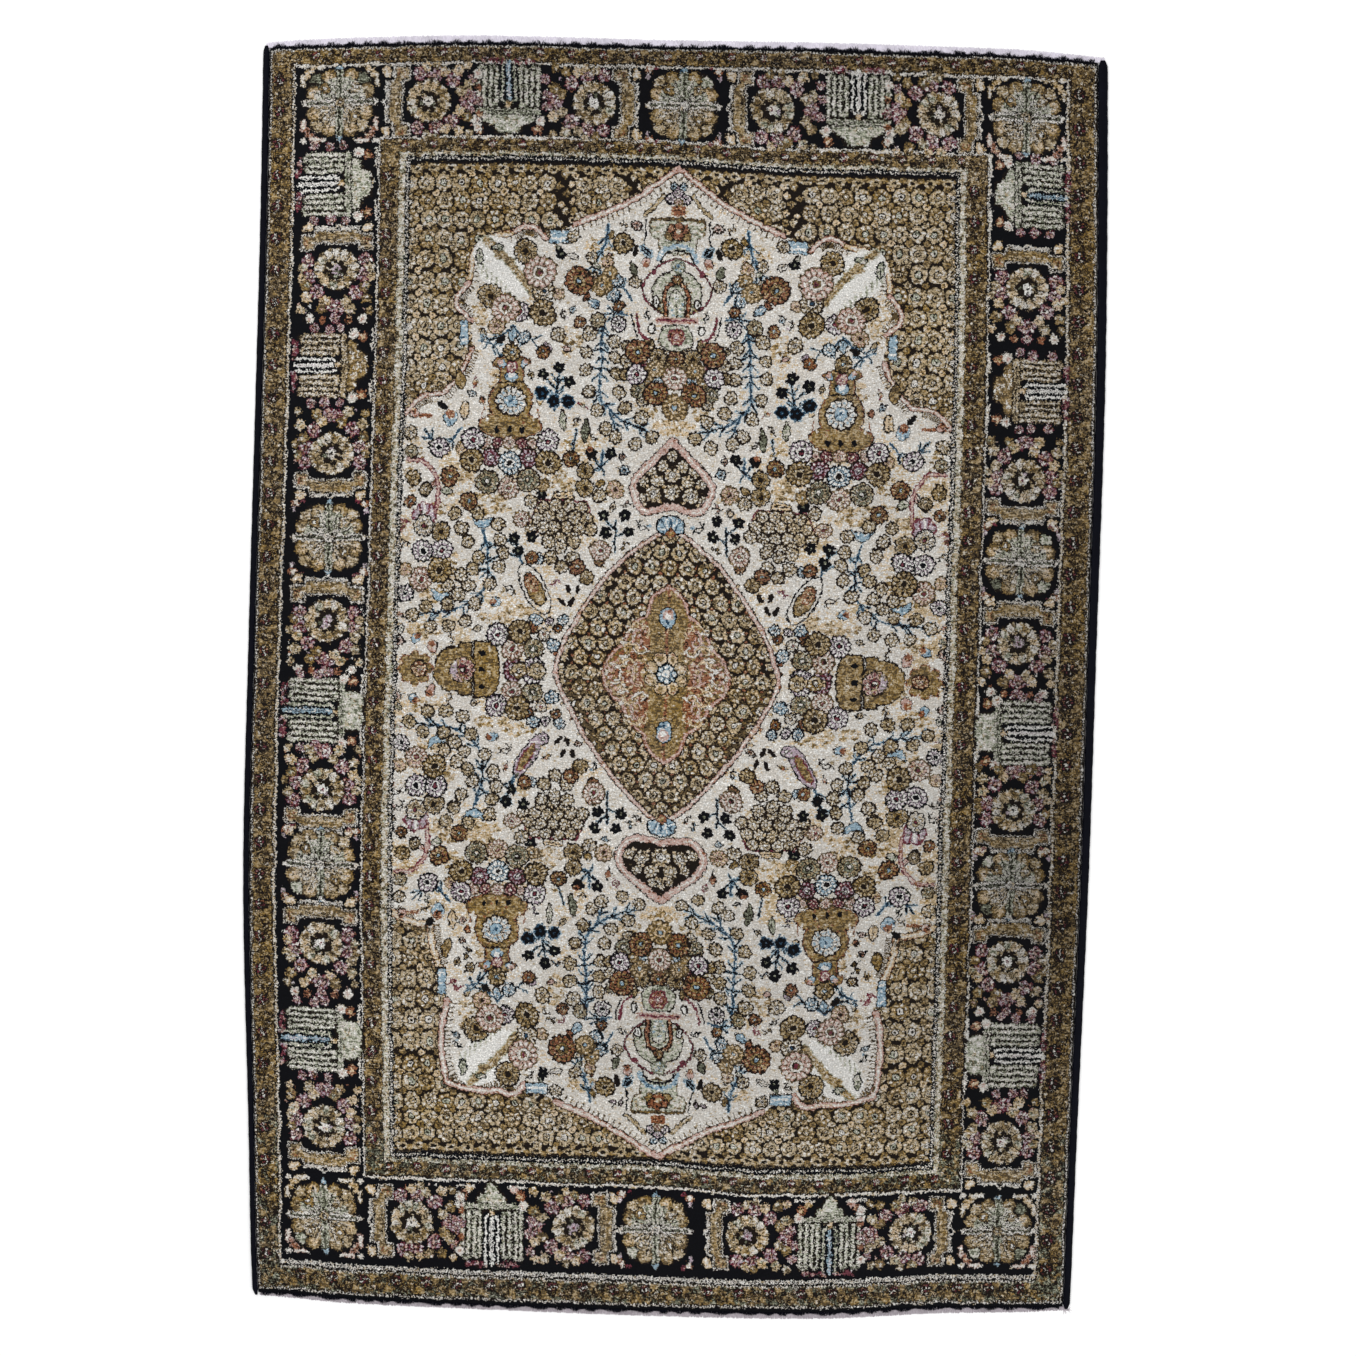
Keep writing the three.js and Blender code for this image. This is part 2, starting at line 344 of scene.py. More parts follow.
def square_cross(pen):
    """The eyes and the four arms on the square rosette's fan of dark lines."""
    for k, eye in enumerate(pen.spokes(4, turn=math.pi / 4)):
        eye.shape([(20, 0), (29, -8), (37, -6), (38, 0), (37, 6), (29, 8)], (SAND, OCHRE)[k % 2], BARK, 1.6)
        eye.discs(31, 0, (BARK, 3.6), ((IVORY, WHITE)[k % 2], 2.2))
    for k, arm in enumerate(pen.spokes(4)):
        for near, far, half, ink in ((4, 49, 5.8, BARK), (5, 50, 4.6, (IVORY, CELADON)[k % 2]),
                                     (5, 50, 2.2, (BARK, MOSS)[k % 2]), (7, 48, 0.8, (MOSS, BARK)[k % 2])):
            arm.box(near, -half, far, half, ink)
        arm.shape([(48, -7), (57, 0), (48, 7)], SKY if k % 2 else IVORY, BARK, 1.4)


def square_corners(pen, stepped):
    """Stepped brackets, or small petals, outside the square rosette's corners."""
    for x, y in ((-1, -1), (1, -1), (-1, 1), (1, 1)):
        corner = pen.at(0, 0, 0, 1, (x, y))
        if not stepped:
            for petal in ((50, 49, RUST, 6, 5), (49, 50, IVORY, 3.4, 3.8), (52, 40, LILAC, 2.6, 4.4),
                          (40, 53, WINE, 3.4, 2.4)):
                corner.disc(*petal)
            continue
        steps = [(28, 53), (40, 53), (40, 46), (47, 46), (47, 38), (53, 38), (53, 26)]
        corner.lines(steps, (BARK, 9), (ROSE if y < 0 else SAND, 6.2))
        corner.line(steps[1:-1], RUST if y < 0 else PEACH, 4.0)
        corner.line(steps[:2], IVORY, 3.4)
        corner.line(steps[-2:], IVORY, 3.4)
        corner.disc(52, 54, IVORY, 4.4, 3.4)
        corner.disc(24, 54, IVORY, 3.2, 2.2)


def rosette_square(pen, corners=False):
    """The large square rosette: a ring of lobes round a fan of dark lines and a cross of arms."""
    pen.fill(lambda u, v: (abs(u) ** 4 + abs(v) ** 4) < 47.0 ** 4, 66, BARK)
    square_ring(pen)
    pen.bloom(0, 0, SAND, 38, 16, 0.1)
    pen.fill(lambda u, v: (np.hypot(u, v) < 37) & (v > 4), 38, CELADON)
    pen.rays(0, 0, BARK, 8, 44, 24, 1.7, 0.13)
    pen.rays(0, 0, IVORY, 12, 36, 24, 1.0, 0.2)
    square_cross(pen)
    square_corners(pen, corners)
    pen.bloom(0, 0, BARK, 9, 8, 0.25)
    pen.bloom(0, 0, SAND if corners else IVORY, 6.8, 8, 0.3)
    pen.discs(0, 0, (BARK, 3.2), (IVORY, 1.6))


def round_flower(pen):
    """A round flower with a ragged pale ring and a dark heart."""
    pen.bloom(0, 0, BARK, 33, 13, 0.08)
    pen.bloom(0, 0, SAND, 31, 13, 0.12)
    for lobe in pen.spokes(13, turn=0.2):
        lobe.disc(24, 0, pick(OCHRE, PEACH, CELADON, SAND, IVORY), 6, 5)
        lobe.line([(17, 3), (30, 4.5)], BARK, 1.5)
        lobe.line([(19, -1), (25, -1)], UMBER, 1.2)
        lobe.disc(28.5, -1, IVORY, 1.8, 2.4)
    pen.bloom(0, 0, BARK, 17.5, 8, 0.3, dice.uniform(0, 1))
    for k in range(5):
        a = dice.uniform(0, 6.28)
        pen.disc(9.5 * math.cos(a), 9.5 * math.sin(a), (MOSS, SAND, LILAC)[k % 3], 3, 2)
    pen.bloom(0, 0, pick(IVORY, LILAC, WHITE), 7.5, 5, 0.4, dice.uniform(0, 1))
    pen.disc(0, 0, pick(WINE, BARK), 2.2)


# the wreath round a flower, one side of it: across, along (the bracket is at +), size
WREATH = [(39, 14, 10.2), (37, -9, 10.6), (28, -34, 10.6), (4, -55, 10)]
CLUMPS = [(48, 2, 7), (42, -23, 8), (14, -46, 8), (44, -43, 8), (22, -57, 8), (49, -58, 6), (51, -12, 6)]


def wreath(pen):
    """Spray flowers and leaves that curl round the flower from both ends of its bracket."""
    for side in (-1, 1):
        for draw, places in ((peony, WREATH), (clump, CLUMPS)):
            for x, y, r in places:
                draw(pen, side * (x + dice.uniform(-2, 2)), y + dice.uniform(-2, 2), r)
        for k in range(12):
            x, y = side * dice.uniform(14, 54), dice.uniform(-66, 18)
            if math.hypot(x, y) > 36:
                pen.disc(x, y, (WHITE, LILAC, ROSE, RUST)[k % 4], 1.5)


def bracket(pen):
    """A stepped bar whose two ends turn towards the flower below it."""
    form = mirrored([(0, 9), (29, 9), (30, 1), (50, 1), (50, -18), (34, -18), (33, -9), (24, -8), (0, -8)])
    for ink, edge, width in ((BARK, BARK, 7.5), (IVORY, IVORY, 4.6), (SAND, BARK, 1.9)):
        pen.shape(form, ink, edge, width)
    pen.line([(-44, -13), (-44, -4), (-32, -3), (-27, 3), (27, 3), (32, -3), (44, -4), (44, -13)], OCHRE, 5.4)
    flecks(pen, 50, (-26, 26), (-6, 7), (SAND, OCHRE, OCHRE), 1.6)
    pen.box(-23, -4.2, 23, -2.8, BARK)
    for side in (-1, 1):
        pen.line([(side * 38, -12), (side * 45, -12), (side * 45, -5), (side * 38, -4)], RUST, 2.0)
        ear = pen.at(side * 43, 12)
        ear.shape(smooth([(-8, -4), (-4, 6), (4, 9), (8, 3), (6, -5)], True, 3), PEACH, BARK, 1.4)
        ear.line([(-4, 0), (5, 3)], IVORY, 3.2)
    pen.line([(-30, 14), (-7, 13), (0, 18), (7, 13), (30, 14)], IVORY, 2.4)


def ruffled(pen, x, foot, top, ink):
    """A leafy upright bar: two pale strips with ragged sides and a dark spine between them."""
    length = foot - top
    bar = pen.at(x, foot, -math.pi / 2)
    bar.lines([(0, 0), (length, 0)], (BARK, 16.6), (ink, 12.6))
    bar.shape([(2, 6), (-8, 0), (2, -6)], ink, BARK, 1.4)
    for k in range(int(length / 5.4) + 1):
        for side in (-1, 1):
            bar.disc(5.4 * k + 1.6 * side, side * 5.9, ink, 1.7, 1.8)
            bar.disc(5.4 * k + 2.7 + 1.6 * side, side * 6.6, BARK, 1.1, 1.3)
            bar.disc(5.4 * k + dice.uniform(-2, 2), side * 4.0, (IVORY, WHITE)[k % 2], 2.3, 0.9)
    bar.line([(0, 0), (length - 4, 0)], BARK, 3.4)


CROWNS = {  # one half of the tree's crown, from its side to its tip
    "slab": [(-36, -19), (-34, -31), (-21, -36), (-17, -45), (-8, -47)],
    "block": [(-24, -24), (-29, -36), (-27, -50), (-18, -57), (-6, -58)],
    "spire": [(-20, -26), (-19, -42), (-12, -45), (-10, -53), (-3, -61)]}


def tree_crown(pen, crown, slab):
    """The crown of a border tree: a rounded form with pale flecks."""
    half = CROWNS[crown]
    pen.shape(smooth(mirrored(half), True, 3), slab, BARK, 3.6)
    across, along = [u for u, v in half], [-v for u, v in half]
    flecks(pen, 70, (-30, 30), (-56, -20), (IVORY, SAND, slab, WHITE), 2.6, 1.2,
           lambda x, y: abs(x) < -np.interp(-y, along, across) - 3)


def tree_trunk(pen, top, pale):
    """The middle tine on navy, under a bar that joins all the tines."""
    pen.line([(-42, top - 1), (42, top - 1)], BARK, 11)
    pen.line([(-43, top - 2), (43, top - 2)], pale, 7.5)
    pen.line([(-36, top - 2), (36, top - 2)], BARK, 1.6)
    foot = top + 16
    pen.box(-12.4, foot - 7, 12.4, 50, NAVY)
    core = pick(SKY, WHITE)
    pen.line([(-9, 55), (-9, foot - 2), (-5, foot - 5), (5, foot - 5), (9, foot - 2), (9, 55)],
             WHITE if core == WHITE else pale, 3.4)
    pen.line([(0, 56), (0, foot)], core, 5.8)
    pen.line([(0, 54), (0, foot + 4)], pick(LILAC, NAVY), 1.2)
    pen.bloom(0, foot - 9, BARK, 6.4, 6, 0.3)
    pen.disc(0, foot - 9, PEACH, 3.4, 4.4)


def tree(pen, crown, pale, slab):
    """The comb-shaped cypress group: a crown towards the field and nested leafy tines."""
    tree_crown(pen, crown, slab)
    top = -12 if crown == "slab" else -24
    for side in (-1, 1):
        ruffled(pen, side * 38.5, 45, top + 2, pale)
        ruffled(pen, side * 21.5, 44, top + 8, pale)
    tree_trunk(pen, top, pale)
    for side in (-1, 1):
        for k in range(26):
            x, y = side * dice.uniform(9, 38), 57 + dice.uniform(-3.5, 3)
            pen.disc(x, y, (WINE, WINE, ROSE, WINE, BARK, LILAC)[k % 6], dice.uniform(1.6, 3.4), 1.8)
        rose_bud(pen, side * 46, -28, 7.5, side * 45, -27)
        pen.bloom(side * 42, -41, RUST, 7.5, 6, 0.3)
        pen.disc(side * 42, -41, PEACH, 3)
        if crown == "spire":
            pen.bloom(side * 33, -50, (ROSE, PEACH)[side > 0], 6.5, 5, 0.3)
        pen.line([(side * 24, -53), (side * 52, -54)], IVORY, 2.6)


# ---------------------------------------------------------------- the border's stripes and its narrow vines
def vine(pen, count, half, pitch):
    """The zigzag stem of a narrow border, with a leaf in each bend."""
    for k in range(-count, count):
        x, way = k * pitch, 1 if k % 2 else -1
        rise = half * 0.62 * way
        clean = pen.at(x + pitch / 2, 0, 0, 1, (1, way))
        top = half * 0.9
        clean.shape([(-pitch * 0.42, top), (pitch * 0.30, top), (-pitch * 0.02, -half * 0.45)], OCHRE)
        pen.line([(x, -rise), (x + pitch, rise)], BARK, 1.7)
        pen.line([(x + pitch * 0.5, -rise * 0.2), (x + pitch * 0.85, -rise * 1.3)], BARK, 1.2)
        ink = (OCHRE, SAND, PEACH)[k % 3]
        leaf(pen, x + pitch * 0.62, -rise * 0.75, half * 0.75, half * 0.4, 0.7 * way, ink)


def small_border(pen, length, half, pitch):
    """The zigzag vine of the narrow ochre borders, drawn along x from the middle outwards."""
    count = int(length / pitch / 2)
    vine(pen, count, half, pitch)
    for k in range(-count, count + 1):
        red = k % 2
        x, y = k * pitch, half * 0.3 * (1 if red else -1)
        r = half * (0.64 if red else 0.52)
        pen.bloom(x, y, BARK, r + 1, 7, 0.25)
        if not red:
            pen.bloom(x, y, OCHRE, r - 1.2, 7, 0.3)
        inks = (IVORY, WINE, RUST, WINE) if red else (BARK, SAND, BARK, OCHRE)
        for a in range(7):
            dx, dy = 0.6 * r * math.cos(a * 0.9), 0.6 * r * math.sin(a * 0.9)
            pen.disc(x + dx, y + dy, inks[a % 4], 1.35)
        pen.disc(x, y, IVORY if red else BARK, 1.4)


OLIVE_ROWS = 430


def flecked(chart):
    """Dense dark and pale flecks over the ochre stripes, with moss green in the lowest rows."""
    grain = wave(chart.shape, 3.2, 1.3, 31) + wave(chart.shape, 8, 0.5, 32)
    ochre = chart == OCHRE
    chart[ochre & (grain > 0.30)] = BARK
    chart[ochre & (grain < -0.85)] = SAND
    chart[ochre & (grain < -1.2)] = IVORY
    olive = ochre & (np.arange(ROWS)[:, None] < OLIVE_ROWS) & (np.abs(grain + 0.3) < 0.6)
    chart[olive & (wave(chart.shape, 7, 1.0, 33) > -0.15)] = MOSS
    pale = chart == CELADON
    chart[pale & (grain > 0.1)] = SAND
    chart[pale & (grain > 0.95)] = UMBER
    chart[pale & (grain < -0.5)] = IVORY


def dashes(pen, x0, x1, y, height, pitch, ink):
    """A row of short dashes, each a little more than half the pitch long."""
    for x in np.arange(x0 + pitch / 2, x1, pitch):
        pen.box(x - pitch * 0.27, y - height / 2, x + pitch * 0.27, y + height / 2, ink)


# left, bottom, right, top of each stripe of the border, from the edge of the rug inwards
STRIPES = [
    (NAVY, -600, -910, 600, 910), (BARK, -595, -897, 596, 899), (OCHRE, -591, -893, 590, 897),
    (BARK, -562.5, -864, 556, 878), (IVORY, -560, -860, 553.5, 875.5), (NAVY, -557, -854.5, 550, 872.5),
    (IVORY, -436, -728, 440, 769), (BARK, -434, -725, 438, 767), (OCHRE, -432, -722, 435, 765.5),
    (BARK, -407.5, -704, 407, 748.5), (CELADON, -406, -702.5, 405.5, 747), (NAVY, -397.5, -697, 397.5, 742.5),
    (SAND, -390, -687, 390, 733)]

# motif, height on the left side, height on the right side
SIDE_MOTIFS = [
    ("tree", 703, 712), ("flower below", 580, 577), ("tree", 441, 430), ("flower above", 315, 299),
    ("square", 193, 182), ("flower below", 73, 64), ("tree", -57, -65), ("flower above", -171, -176),
    ("square", -279, -286), ("flower below", -393, -396), ("tree", -532, -531), ("flower above", -658, -657)]
END_MOTIFS = [("flower above", 128), ("tree", 251), ("flower below", 366)]
LEFT_MIDDLE = -493
RIGHT_MIDDLE = 495
TOP_MIDDLE = 820
BOTTOM_MIDDLE = -788

# middle across and along, quarter turns, length, half width and pitch of each narrow border
NARROW_BORDERS = [
    (0, 887, 0, 1120, 9.5, 23), (0, -878, 0, 1120, 13.5, 23), (-576.5, 5, 1, 1740, 13.5, 23),
    (572.5, 5, 1, 1740, 16, 23), (0, 756, 0, 820, 9, 21), (0, -712, 0, 820, 9.5, 21),
    (-419.5, 21, 1, 1420, 12, 21), (421, 21, 1, 1420, 13, 21)]

# left end, right end, height, thickness, pitch and ink of each dashed line across the rug
CROSS_DASHES = [
    (-595, 595, 898.2, 2.6, 5.2, IVORY), (-595, 595, -895.5, 2.6, 5.2, IVORY),
    (-560, 555, -864, 2.6, 5.2, IVORY), (-396, 396, 738, 2.6, 5.2, IVORY),
    (-396, 396, -692, 2.6, 5.2, IVORY), (-405, 405, -699.5, 2.6, 5.2, MOSS),
    (-560, 555, -861, 2.4, 6.4, NAVY), (-555, 549, -857.2, 3.2, 5.2, BARK)]

# place across, lower end, upper end and ink of each dashed line along the rug
LONG_DASHES = [
    (-593.2, -893, 897, IVORY), (592.8, -893, 897, IVORY), (-393.8, -690, 735, IVORY),
    (393.8, -690, 735, IVORY), (-559, -855, 874, SAND), (552, -855, 874, SAND)]
TREE_SPRAYS = [(54, 34, 7), (53, 12, 7.5), (55, -8, 6.5)]

# Motifs are numbered from 0 on the left side, 100 on the right, 200 at the top and 220 at the bottom.
# The trees with these numbers are ochre, or have another crown than the slab.
OCHRE_TREES = (2, 102)
BLOCK_TREES = (6, 10)
SPIRES_FROM = 211


def border_tree(pen, number):
    """A tree with its sprays: ochre or pale, with one of three crowns."""
    crown = "spire" if number >= SPIRES_FROM else "block" if number % 100 in BLOCK_TREES else "slab"
    tree(pen, crown, *((SAND, OCHRE) if number in OCHRE_TREES else (CELADON, CELADON)))
    for side in (-1, 1):
        for x, y, r in TREE_SPRAYS:
            peony(pen, side * (x + dice.uniform(-2, 2)), y + dice.uniform(-4, 4), r)


def border_flower(pen, below):
    """A ring flower with its wreath and bracket, and more blossoms where it hangs below the bracket."""
    wreath(pen)
    round_flower(pen)
    bracket(pen.at(0, 47))
    if not below:
        return
    peony(pen, 0, -72, 7.5)
    for side in (-1, 1):
        rose_bud(pen, side * 38, -71, 7, side * 38, -71)
        pen.bloom(side * 19, -73, RUST, 5.5, 5, 0.3)


def put(pen, name, number):
    """One motif of the main border. A flower lies below its bracket, or above it."""
    if name == "square":
        rosette_square(pen)
    elif name == "tree":
        border_tree(pen, number)
    else:
        below = name == "flower below"
        border_flower(pen.at(0, 0, 0 if below else math.pi), below)


def paint_border(chart):
    """The border's stripes, narrow vines and dashed lines, then the motifs of the main border."""
    pen = Pen(chart)
    for ink, x0, y0, x1, y1 in STRIPES:
        pen.box(x0, y0, x1, y1, ink)
    flecked(chart)
    for x, y, turns, length, half, pitch in NARROW_BORDERS:
        small_border(pen.at(x, y, turns * math.pi / 2), length, half, pitch)
    for row in CROSS_DASHES:
        dashes(pen, *row)
    for x, y0, y1, ink in LONG_DASHES:
        dashes(pen.at(x, 0, math.pi / 2), y0, y1, 0, 2.8, 5.0, ink)
    for k, (name, left, right) in enumerate(SIDE_MOTIFS):
        turn = math.pi / 2 if name == "tree" else 0
        put(pen.at(LEFT_MIDDLE, left, turn), name, k)
        put(pen.at(RIGHT_MIDDLE, right, -turn), name, 100 + k)
    for side in (-1, 1):
        for k, (name, x) in enumerate(END_MOTIFS):
            flat = name == "tree"
            turn = -side * math.pi / 2
            put(pen.at(side * x, TOP_MIDDLE, 0 if flat else turn), name, 200 + k)
            put(pen.at(side * (x - 3 * flat), BOTTOM_MIDDLE, math.pi if flat else turn), name, 220 + k)
        rosette_square(pen.at(side * 493, TOP_MIDDLE), True)
        rosette_square(pen.at(side * 494, BOTTOM_MIDDLE + 1), True)
    rosette_square(pen.at(0, TOP_MIDDLE))
    rosette_square(pen.at(-8, BOTTOM_MIDDLE))


# ---------------------------------------------------------------- the field: two quarters, each mirrored
# Each quarter is drawn with x from the rug's middle line and y from just below the medallion's middle,
# which lies at this height.
MIDDLE_HEIGHT = 6


def scallop(start, end, bulge, steps=8):
    """A plain arc from one corner to the next that bulges outwards by a given height."""
    (ax, ay), (bx, by) = start, end
    length = math.hypot(bx - ax, by - ay)
    nx, ny = (ay - by) / length, (bx - ax) / length
    arc = []
    for k in range(steps + 1):
        t = k / steps
        lift = bulge * math.sin(math.pi * t)
        arc.append((ax + (bx - ax) * t + nx * lift, ay + (by - ay) * t + ny * lift))
    return arc


def field_edge(lobes):
    """The ribbons of the field's stepped edge, one for each run of scallops, and the whole edge."""
    ribbons = [[p for lobe in run for p in scallop(*lobe)] for run in lobes]
    return ribbons, [p for ribbon in ribbons for p in ribbon]


TIP, SHOULDER, FOOT = (0, 730), (150, 645), (390, 370)
RIBBONS, ARCH = field_edge([
    [(TIP, SHOULDER, -8)], [((190, 625), (240, 630), 14)], [((240, 630), (300, 560), 26)],
    [((300, 560), (295, 505), 20)], [((295, 465), (335, 400), -6), ((335, 400), FOOT, 10)]])
LOW_RIBBONS, LOW_ARCH = field_edge([
    [(TIP, SHOULDER, -5)],
    [((195, 620), (235, 632), 10), ((235, 632), (310, 620), 6), ((310, 620), (310, 500), 8)],
    [((320, 450), (335, 385), 4), ((335, 385), FOOT, 6)]])


def lozenge(half_width, half_length, point, steps=14):
    """A bowed lozenge, from its tip to its side corner: the larger the point, the straighter its sides."""
    corners = []
    for k in range(steps + 1):
        a = math.pi / 2 * k / steps
        rise = half_length * max(0.0, math.cos(a)) ** point
        corners.append((half_width * math.sin(a) ** point, MIDDLE_HEIGHT + rise))
    return corners


def shield(half_width, tip, foot, belly):
    """A pendant: a point, a shoulder, a side at the belly's height, and a shallow foot."""
    deep = tip - foot
    return [(0, tip), (0.5 * half_width, tip - 0.27 * deep), (0.9 * half_width, tip - 0.5 * deep),
            (half_width, tip - belly * deep), (0.7 * half_width, foot), (0, foot + 0.07 * deep)]


MEDALLION = lozenge(160, 205, 1.4)
LOW_MEDALLION = lozenge(160, 215, 1.6)
HEART = [p for k in range(3) for p in scallop((30 * k, 133 - 42 * k), (30 * k + 30, 91 - 42 * k), 7, 4)]
PENDANT = shield(56, 340, 240, 0.7)
LOW_PENDANT = shield(60, 340, 246, 0.76)

# place, radius and kind
FIELD_FLOWERS = [
    (220, 606, 18, "olive"), (198, 576, 23, "pink"), (192, 549, 17, "teal"), (268, 541, 18, "olive"),
    (225, 519, 14, "lilac"), (247, 524, 21, "pink"), (192, 518, 19, "sun"), (141, 566, 21, "rust"),
    (108, 560, 15, "gold"), (97, 577, 11, "gold"), (86, 568, 9, "sky"), (92, 548, 10, "sky"),
    (78, 620, 15, "sun"), (120, 570, 9, "ivory"), (83, 530, 8, "rust"), (139, 507, 9, "rust"),
    (169, 488, 11, "tan"), (124, 491, 11, "tan"), (82, 505, 12, "navy"), (88, 480, 10, "tan"),
    (113, 510, 11, "green"), (259, 499, 13, "blush"), (100, 594, 9, "blush"), (60, 566, 9, "tan"),
    (122, 600, 9, "tan"), (150, 628, 9, "tan"), (170, 545, 9, "blush"), (218, 482, 10, "sky"),
    (190, 462, 10, "rust"), (289, 335, 16, "lilac"), (181, 335, 17, "lilac"), (235, 302, 17, "sky"),
    (262, 310, 14, "plum"), (207, 310, 14, "plum"), (289, 305, 17, "sun"), (180, 305, 18, "sun"),
    (267, 275, 17, "green"), (208, 278, 17, "green"), (236, 268, 16, "pink"), (272, 331, 9, "pink"),
    (253, 330, 9, "wine"), (235, 331, 9, "pink"), (217, 330, 9, "wine"), (202, 331, 8, "pink"),
    (216, 224, 12, "pink"), (203, 248, 10, "teal"), (321, 281, 14, "rust"), (357, 263, 9, "bark"),
    (292, 246, 13, "rust"), (126, 269, 14, "olive"), (126, 294, 13, "olive"), (82, 269, 13, "blush"),
    (104, 258, 10, "tan"), (186, 272, 10, "gold"), (357, 211, 15, "ivory"), (331, 202, 15, "olive"),
    (357, 175, 16, "navy"), (329, 176, 16, "lilac"), (332, 147, 18, "sun"), (359, 134, 17, "pink"),
    (381, 114, 12, "navy"), (383, 148, 10, "blush"), (99, 181, 16, "pink"), (101, 166, 8, "rust"),
    (199, 167, 10, "rust"), (189, 166, 8, "sky"), (133, 156, 11, "rust"), (119, 142, 11, "sun"),
    (244, 57, 17, "lilac"), (213, 61, 18, "sun"), (222, 36, 16, "pink"), (192, 37, 15, "green"),
    (220, 9, 15, "plum"), (191, 9, 16, "lilac"), (164, 43, 10, "sky"), (196, 67, 9, "rust"),
    (178, 58, 9, "ivory"), (189, 80, 9, "sky"), (171, 78, 7, "navy"), (151, 81, 8, "sky"),
    (157, 68, 7, "rust"), (375, 279, 11, "ochre"), (338, 323, 15, "navy"), (378, 318, 10, "green"),
    (380, 345, 10, "tan"), (378, 246, 9, "rust"), (304, 322, 9, "blush"), (147, 311, 12, "rust"),
    (54, 466, 19, "rust"), (25, 459, 13, "olive"), (56, 434, 15, "lilac"), (0, 430, 18, "pink"),
    (29, 443, 13, "gold"), (28, 407, 18, "rust"), (0, 388, 19, "gold"), (26, 424, 9, "sky"),
    (52, 412, 12, "green"), (70, 452, 10, "tan"), (18, 404, 8, "wine"), (48, 450, 8, "wine"),
    (0, 458, 12, "rust"), (14, 470, 8, "tan"), (13, 446, 8, "sun"), (40, 425, 9, "gold"),
    (72, 434, 9, "sun"), (70, 474, 8, "green"), (38, 478, 9, "sun"), (46, 395, 8, "tan"),
    (14, 418, 8, "lilac")]

SMALL_ROSETTES = [
    (129, 464), (130, 438), (123, 408), (111, 381), (98, 355), (84, 343), (87, 457), (85, 433), (80, 407),
    (71, 385), (46, 371), (31, 345), (54, 334), (301, 206), (291, 188), (246, 193), (275, 168), (241, 174),
    (283, 151), (246, 154), (289, 126), (258, 129), (303, 112), (319, 99), (279, 99), (350, 96), (370, 83),
    (342, 67), (316, 67), (292, 74), (174, 191), (138, 192), (156, 185), (171, 169), (140, 169), (155, 156),
    (279, 229), (301, 208), (249, 215), (312, 228), (318, 124), (300, 140)]
NAVY_BLOSSOMS = [
    (190, 430), (166, 441), (152, 421), (191, 403), (173, 392), (153, 393), (117, 319), (90, 320),
    (97, 231), (66, 231), (92, 207), (60, 208), (226, 196), (200, 198), (219, 178), (168, 603), (188, 258)]
STEMS = [
    [(104, 519), (106, 470), (108, 403), (94, 383), (74, 367), (38, 353)],
    [(94, 383), (86, 362), (80, 350)], [(108, 403), (116, 392)], [(106, 440), (90, 436)],
    [(106, 440), (124, 442)], [(106, 470), (90, 460)], [(106, 470), (124, 466)], [(105, 495), (90, 484)],
    [(105, 495), (122, 488)], [(171, 380), (170, 410), (164, 436)], [(170, 410), (186, 424)],
    [(171, 396), (186, 402)], [(170, 404), (156, 418)], [(79, 180), (79, 222)], [(79, 200), (66, 207)],
    [(79, 212), (92, 222)], [(270, 205), (262, 170), (262, 132)], [(262, 170), (276, 168)],
    [(262, 150), (282, 150)], [(262, 180), (246, 190)], [(262, 160), (246, 172)],
    [(296, 95), (330, 88), (364, 83)], [(262, 132), (276, 110), (296, 95)], [(330, 88), (344, 70)],
    [(330, 88), (320, 100)], [(296, 95), (292, 78)], [(102, 322), (104, 300), (124, 290), (128, 276)],
    [(104, 300), (88, 316)], [(104, 300), (116, 318)], [(140, 352), (146, 322)],
    [(236, 500), (222, 484), (204, 478)], [(236, 500), (252, 484), (270, 478)],
    [(306, 350), (322, 332), (337, 323)], [(337, 323), (352, 340), (360, 350)],
    [(209, 150), (219, 172), (226, 192)], [(282, 478), (262, 470), (250, 452)],
    [(66, 540), (76, 556), (84, 569)], [(76, 520), (84, 530), (90, 547)],
    [(100, 646), (104, 622), (114, 596), (121, 576)], [(70, 518), (84, 520), (104, 519)]]
# place, length, width, turn and ink
LEAVES = [
    (160, 365, 30, 9, 1.5, CELADON), (127, 351, 36, 11, 1.7, MOSS),
    (62, 585, 20, 11, 1.2, MOSS),
    (183, 470, 16, 8, 0.9, LILAC), (168, 487, 16, 9, 2.1, OCHRE), (156, 468, 13, 8, 0.3, ROSE),
    (125, 293, 18, 11, 0.6, OCHRE), (104, 276, 16, 10, 2.4, OCHRE), (145, 125, 14, 5, 1.1, NAVY),
    (131, 125, 14, 5, 1.9, NAVY), (153, 107, 14, 5, 0.9, NAVY), (140, 107, 14, 5, 2.1, NAVY),
    (335, 383, 16, 8, 0.8, NAVY), (310, 421, 30, 15, 1.4, OCHRE), (302, 377, 28, 13, 1.7, PEACH),
    (325, 261, 18, 12, 0.2, CELADON), (357, 261, 18, 12, 1.5, IVORY), (345, 270, 22, 8, 2.3, ROSE),
    (236, 487, 22, 11, 1.57, SKY), (222, 480, 16, 7, 0.6, NAVY), (252, 480, 16, 7, 2.5, NAVY),
    (120, 535, 22, 12, 0.7, SKY), (130, 543, 14, 8, 2.2, RUST), (118, 590, 16, 8, 0.8, CELADON),
    (100, 600, 16, 8, 2.2, ROSE), (150, 600, 18, 8, 0.3, IVORY), (170, 610, 16, 8, 1.2, CELADON),
    (80, 620, 18, 9, 0.8, SKY), (96, 632, 14, 8, 2.0, OCHRE), (60, 610, 16, 7, 1.8, NAVY)]
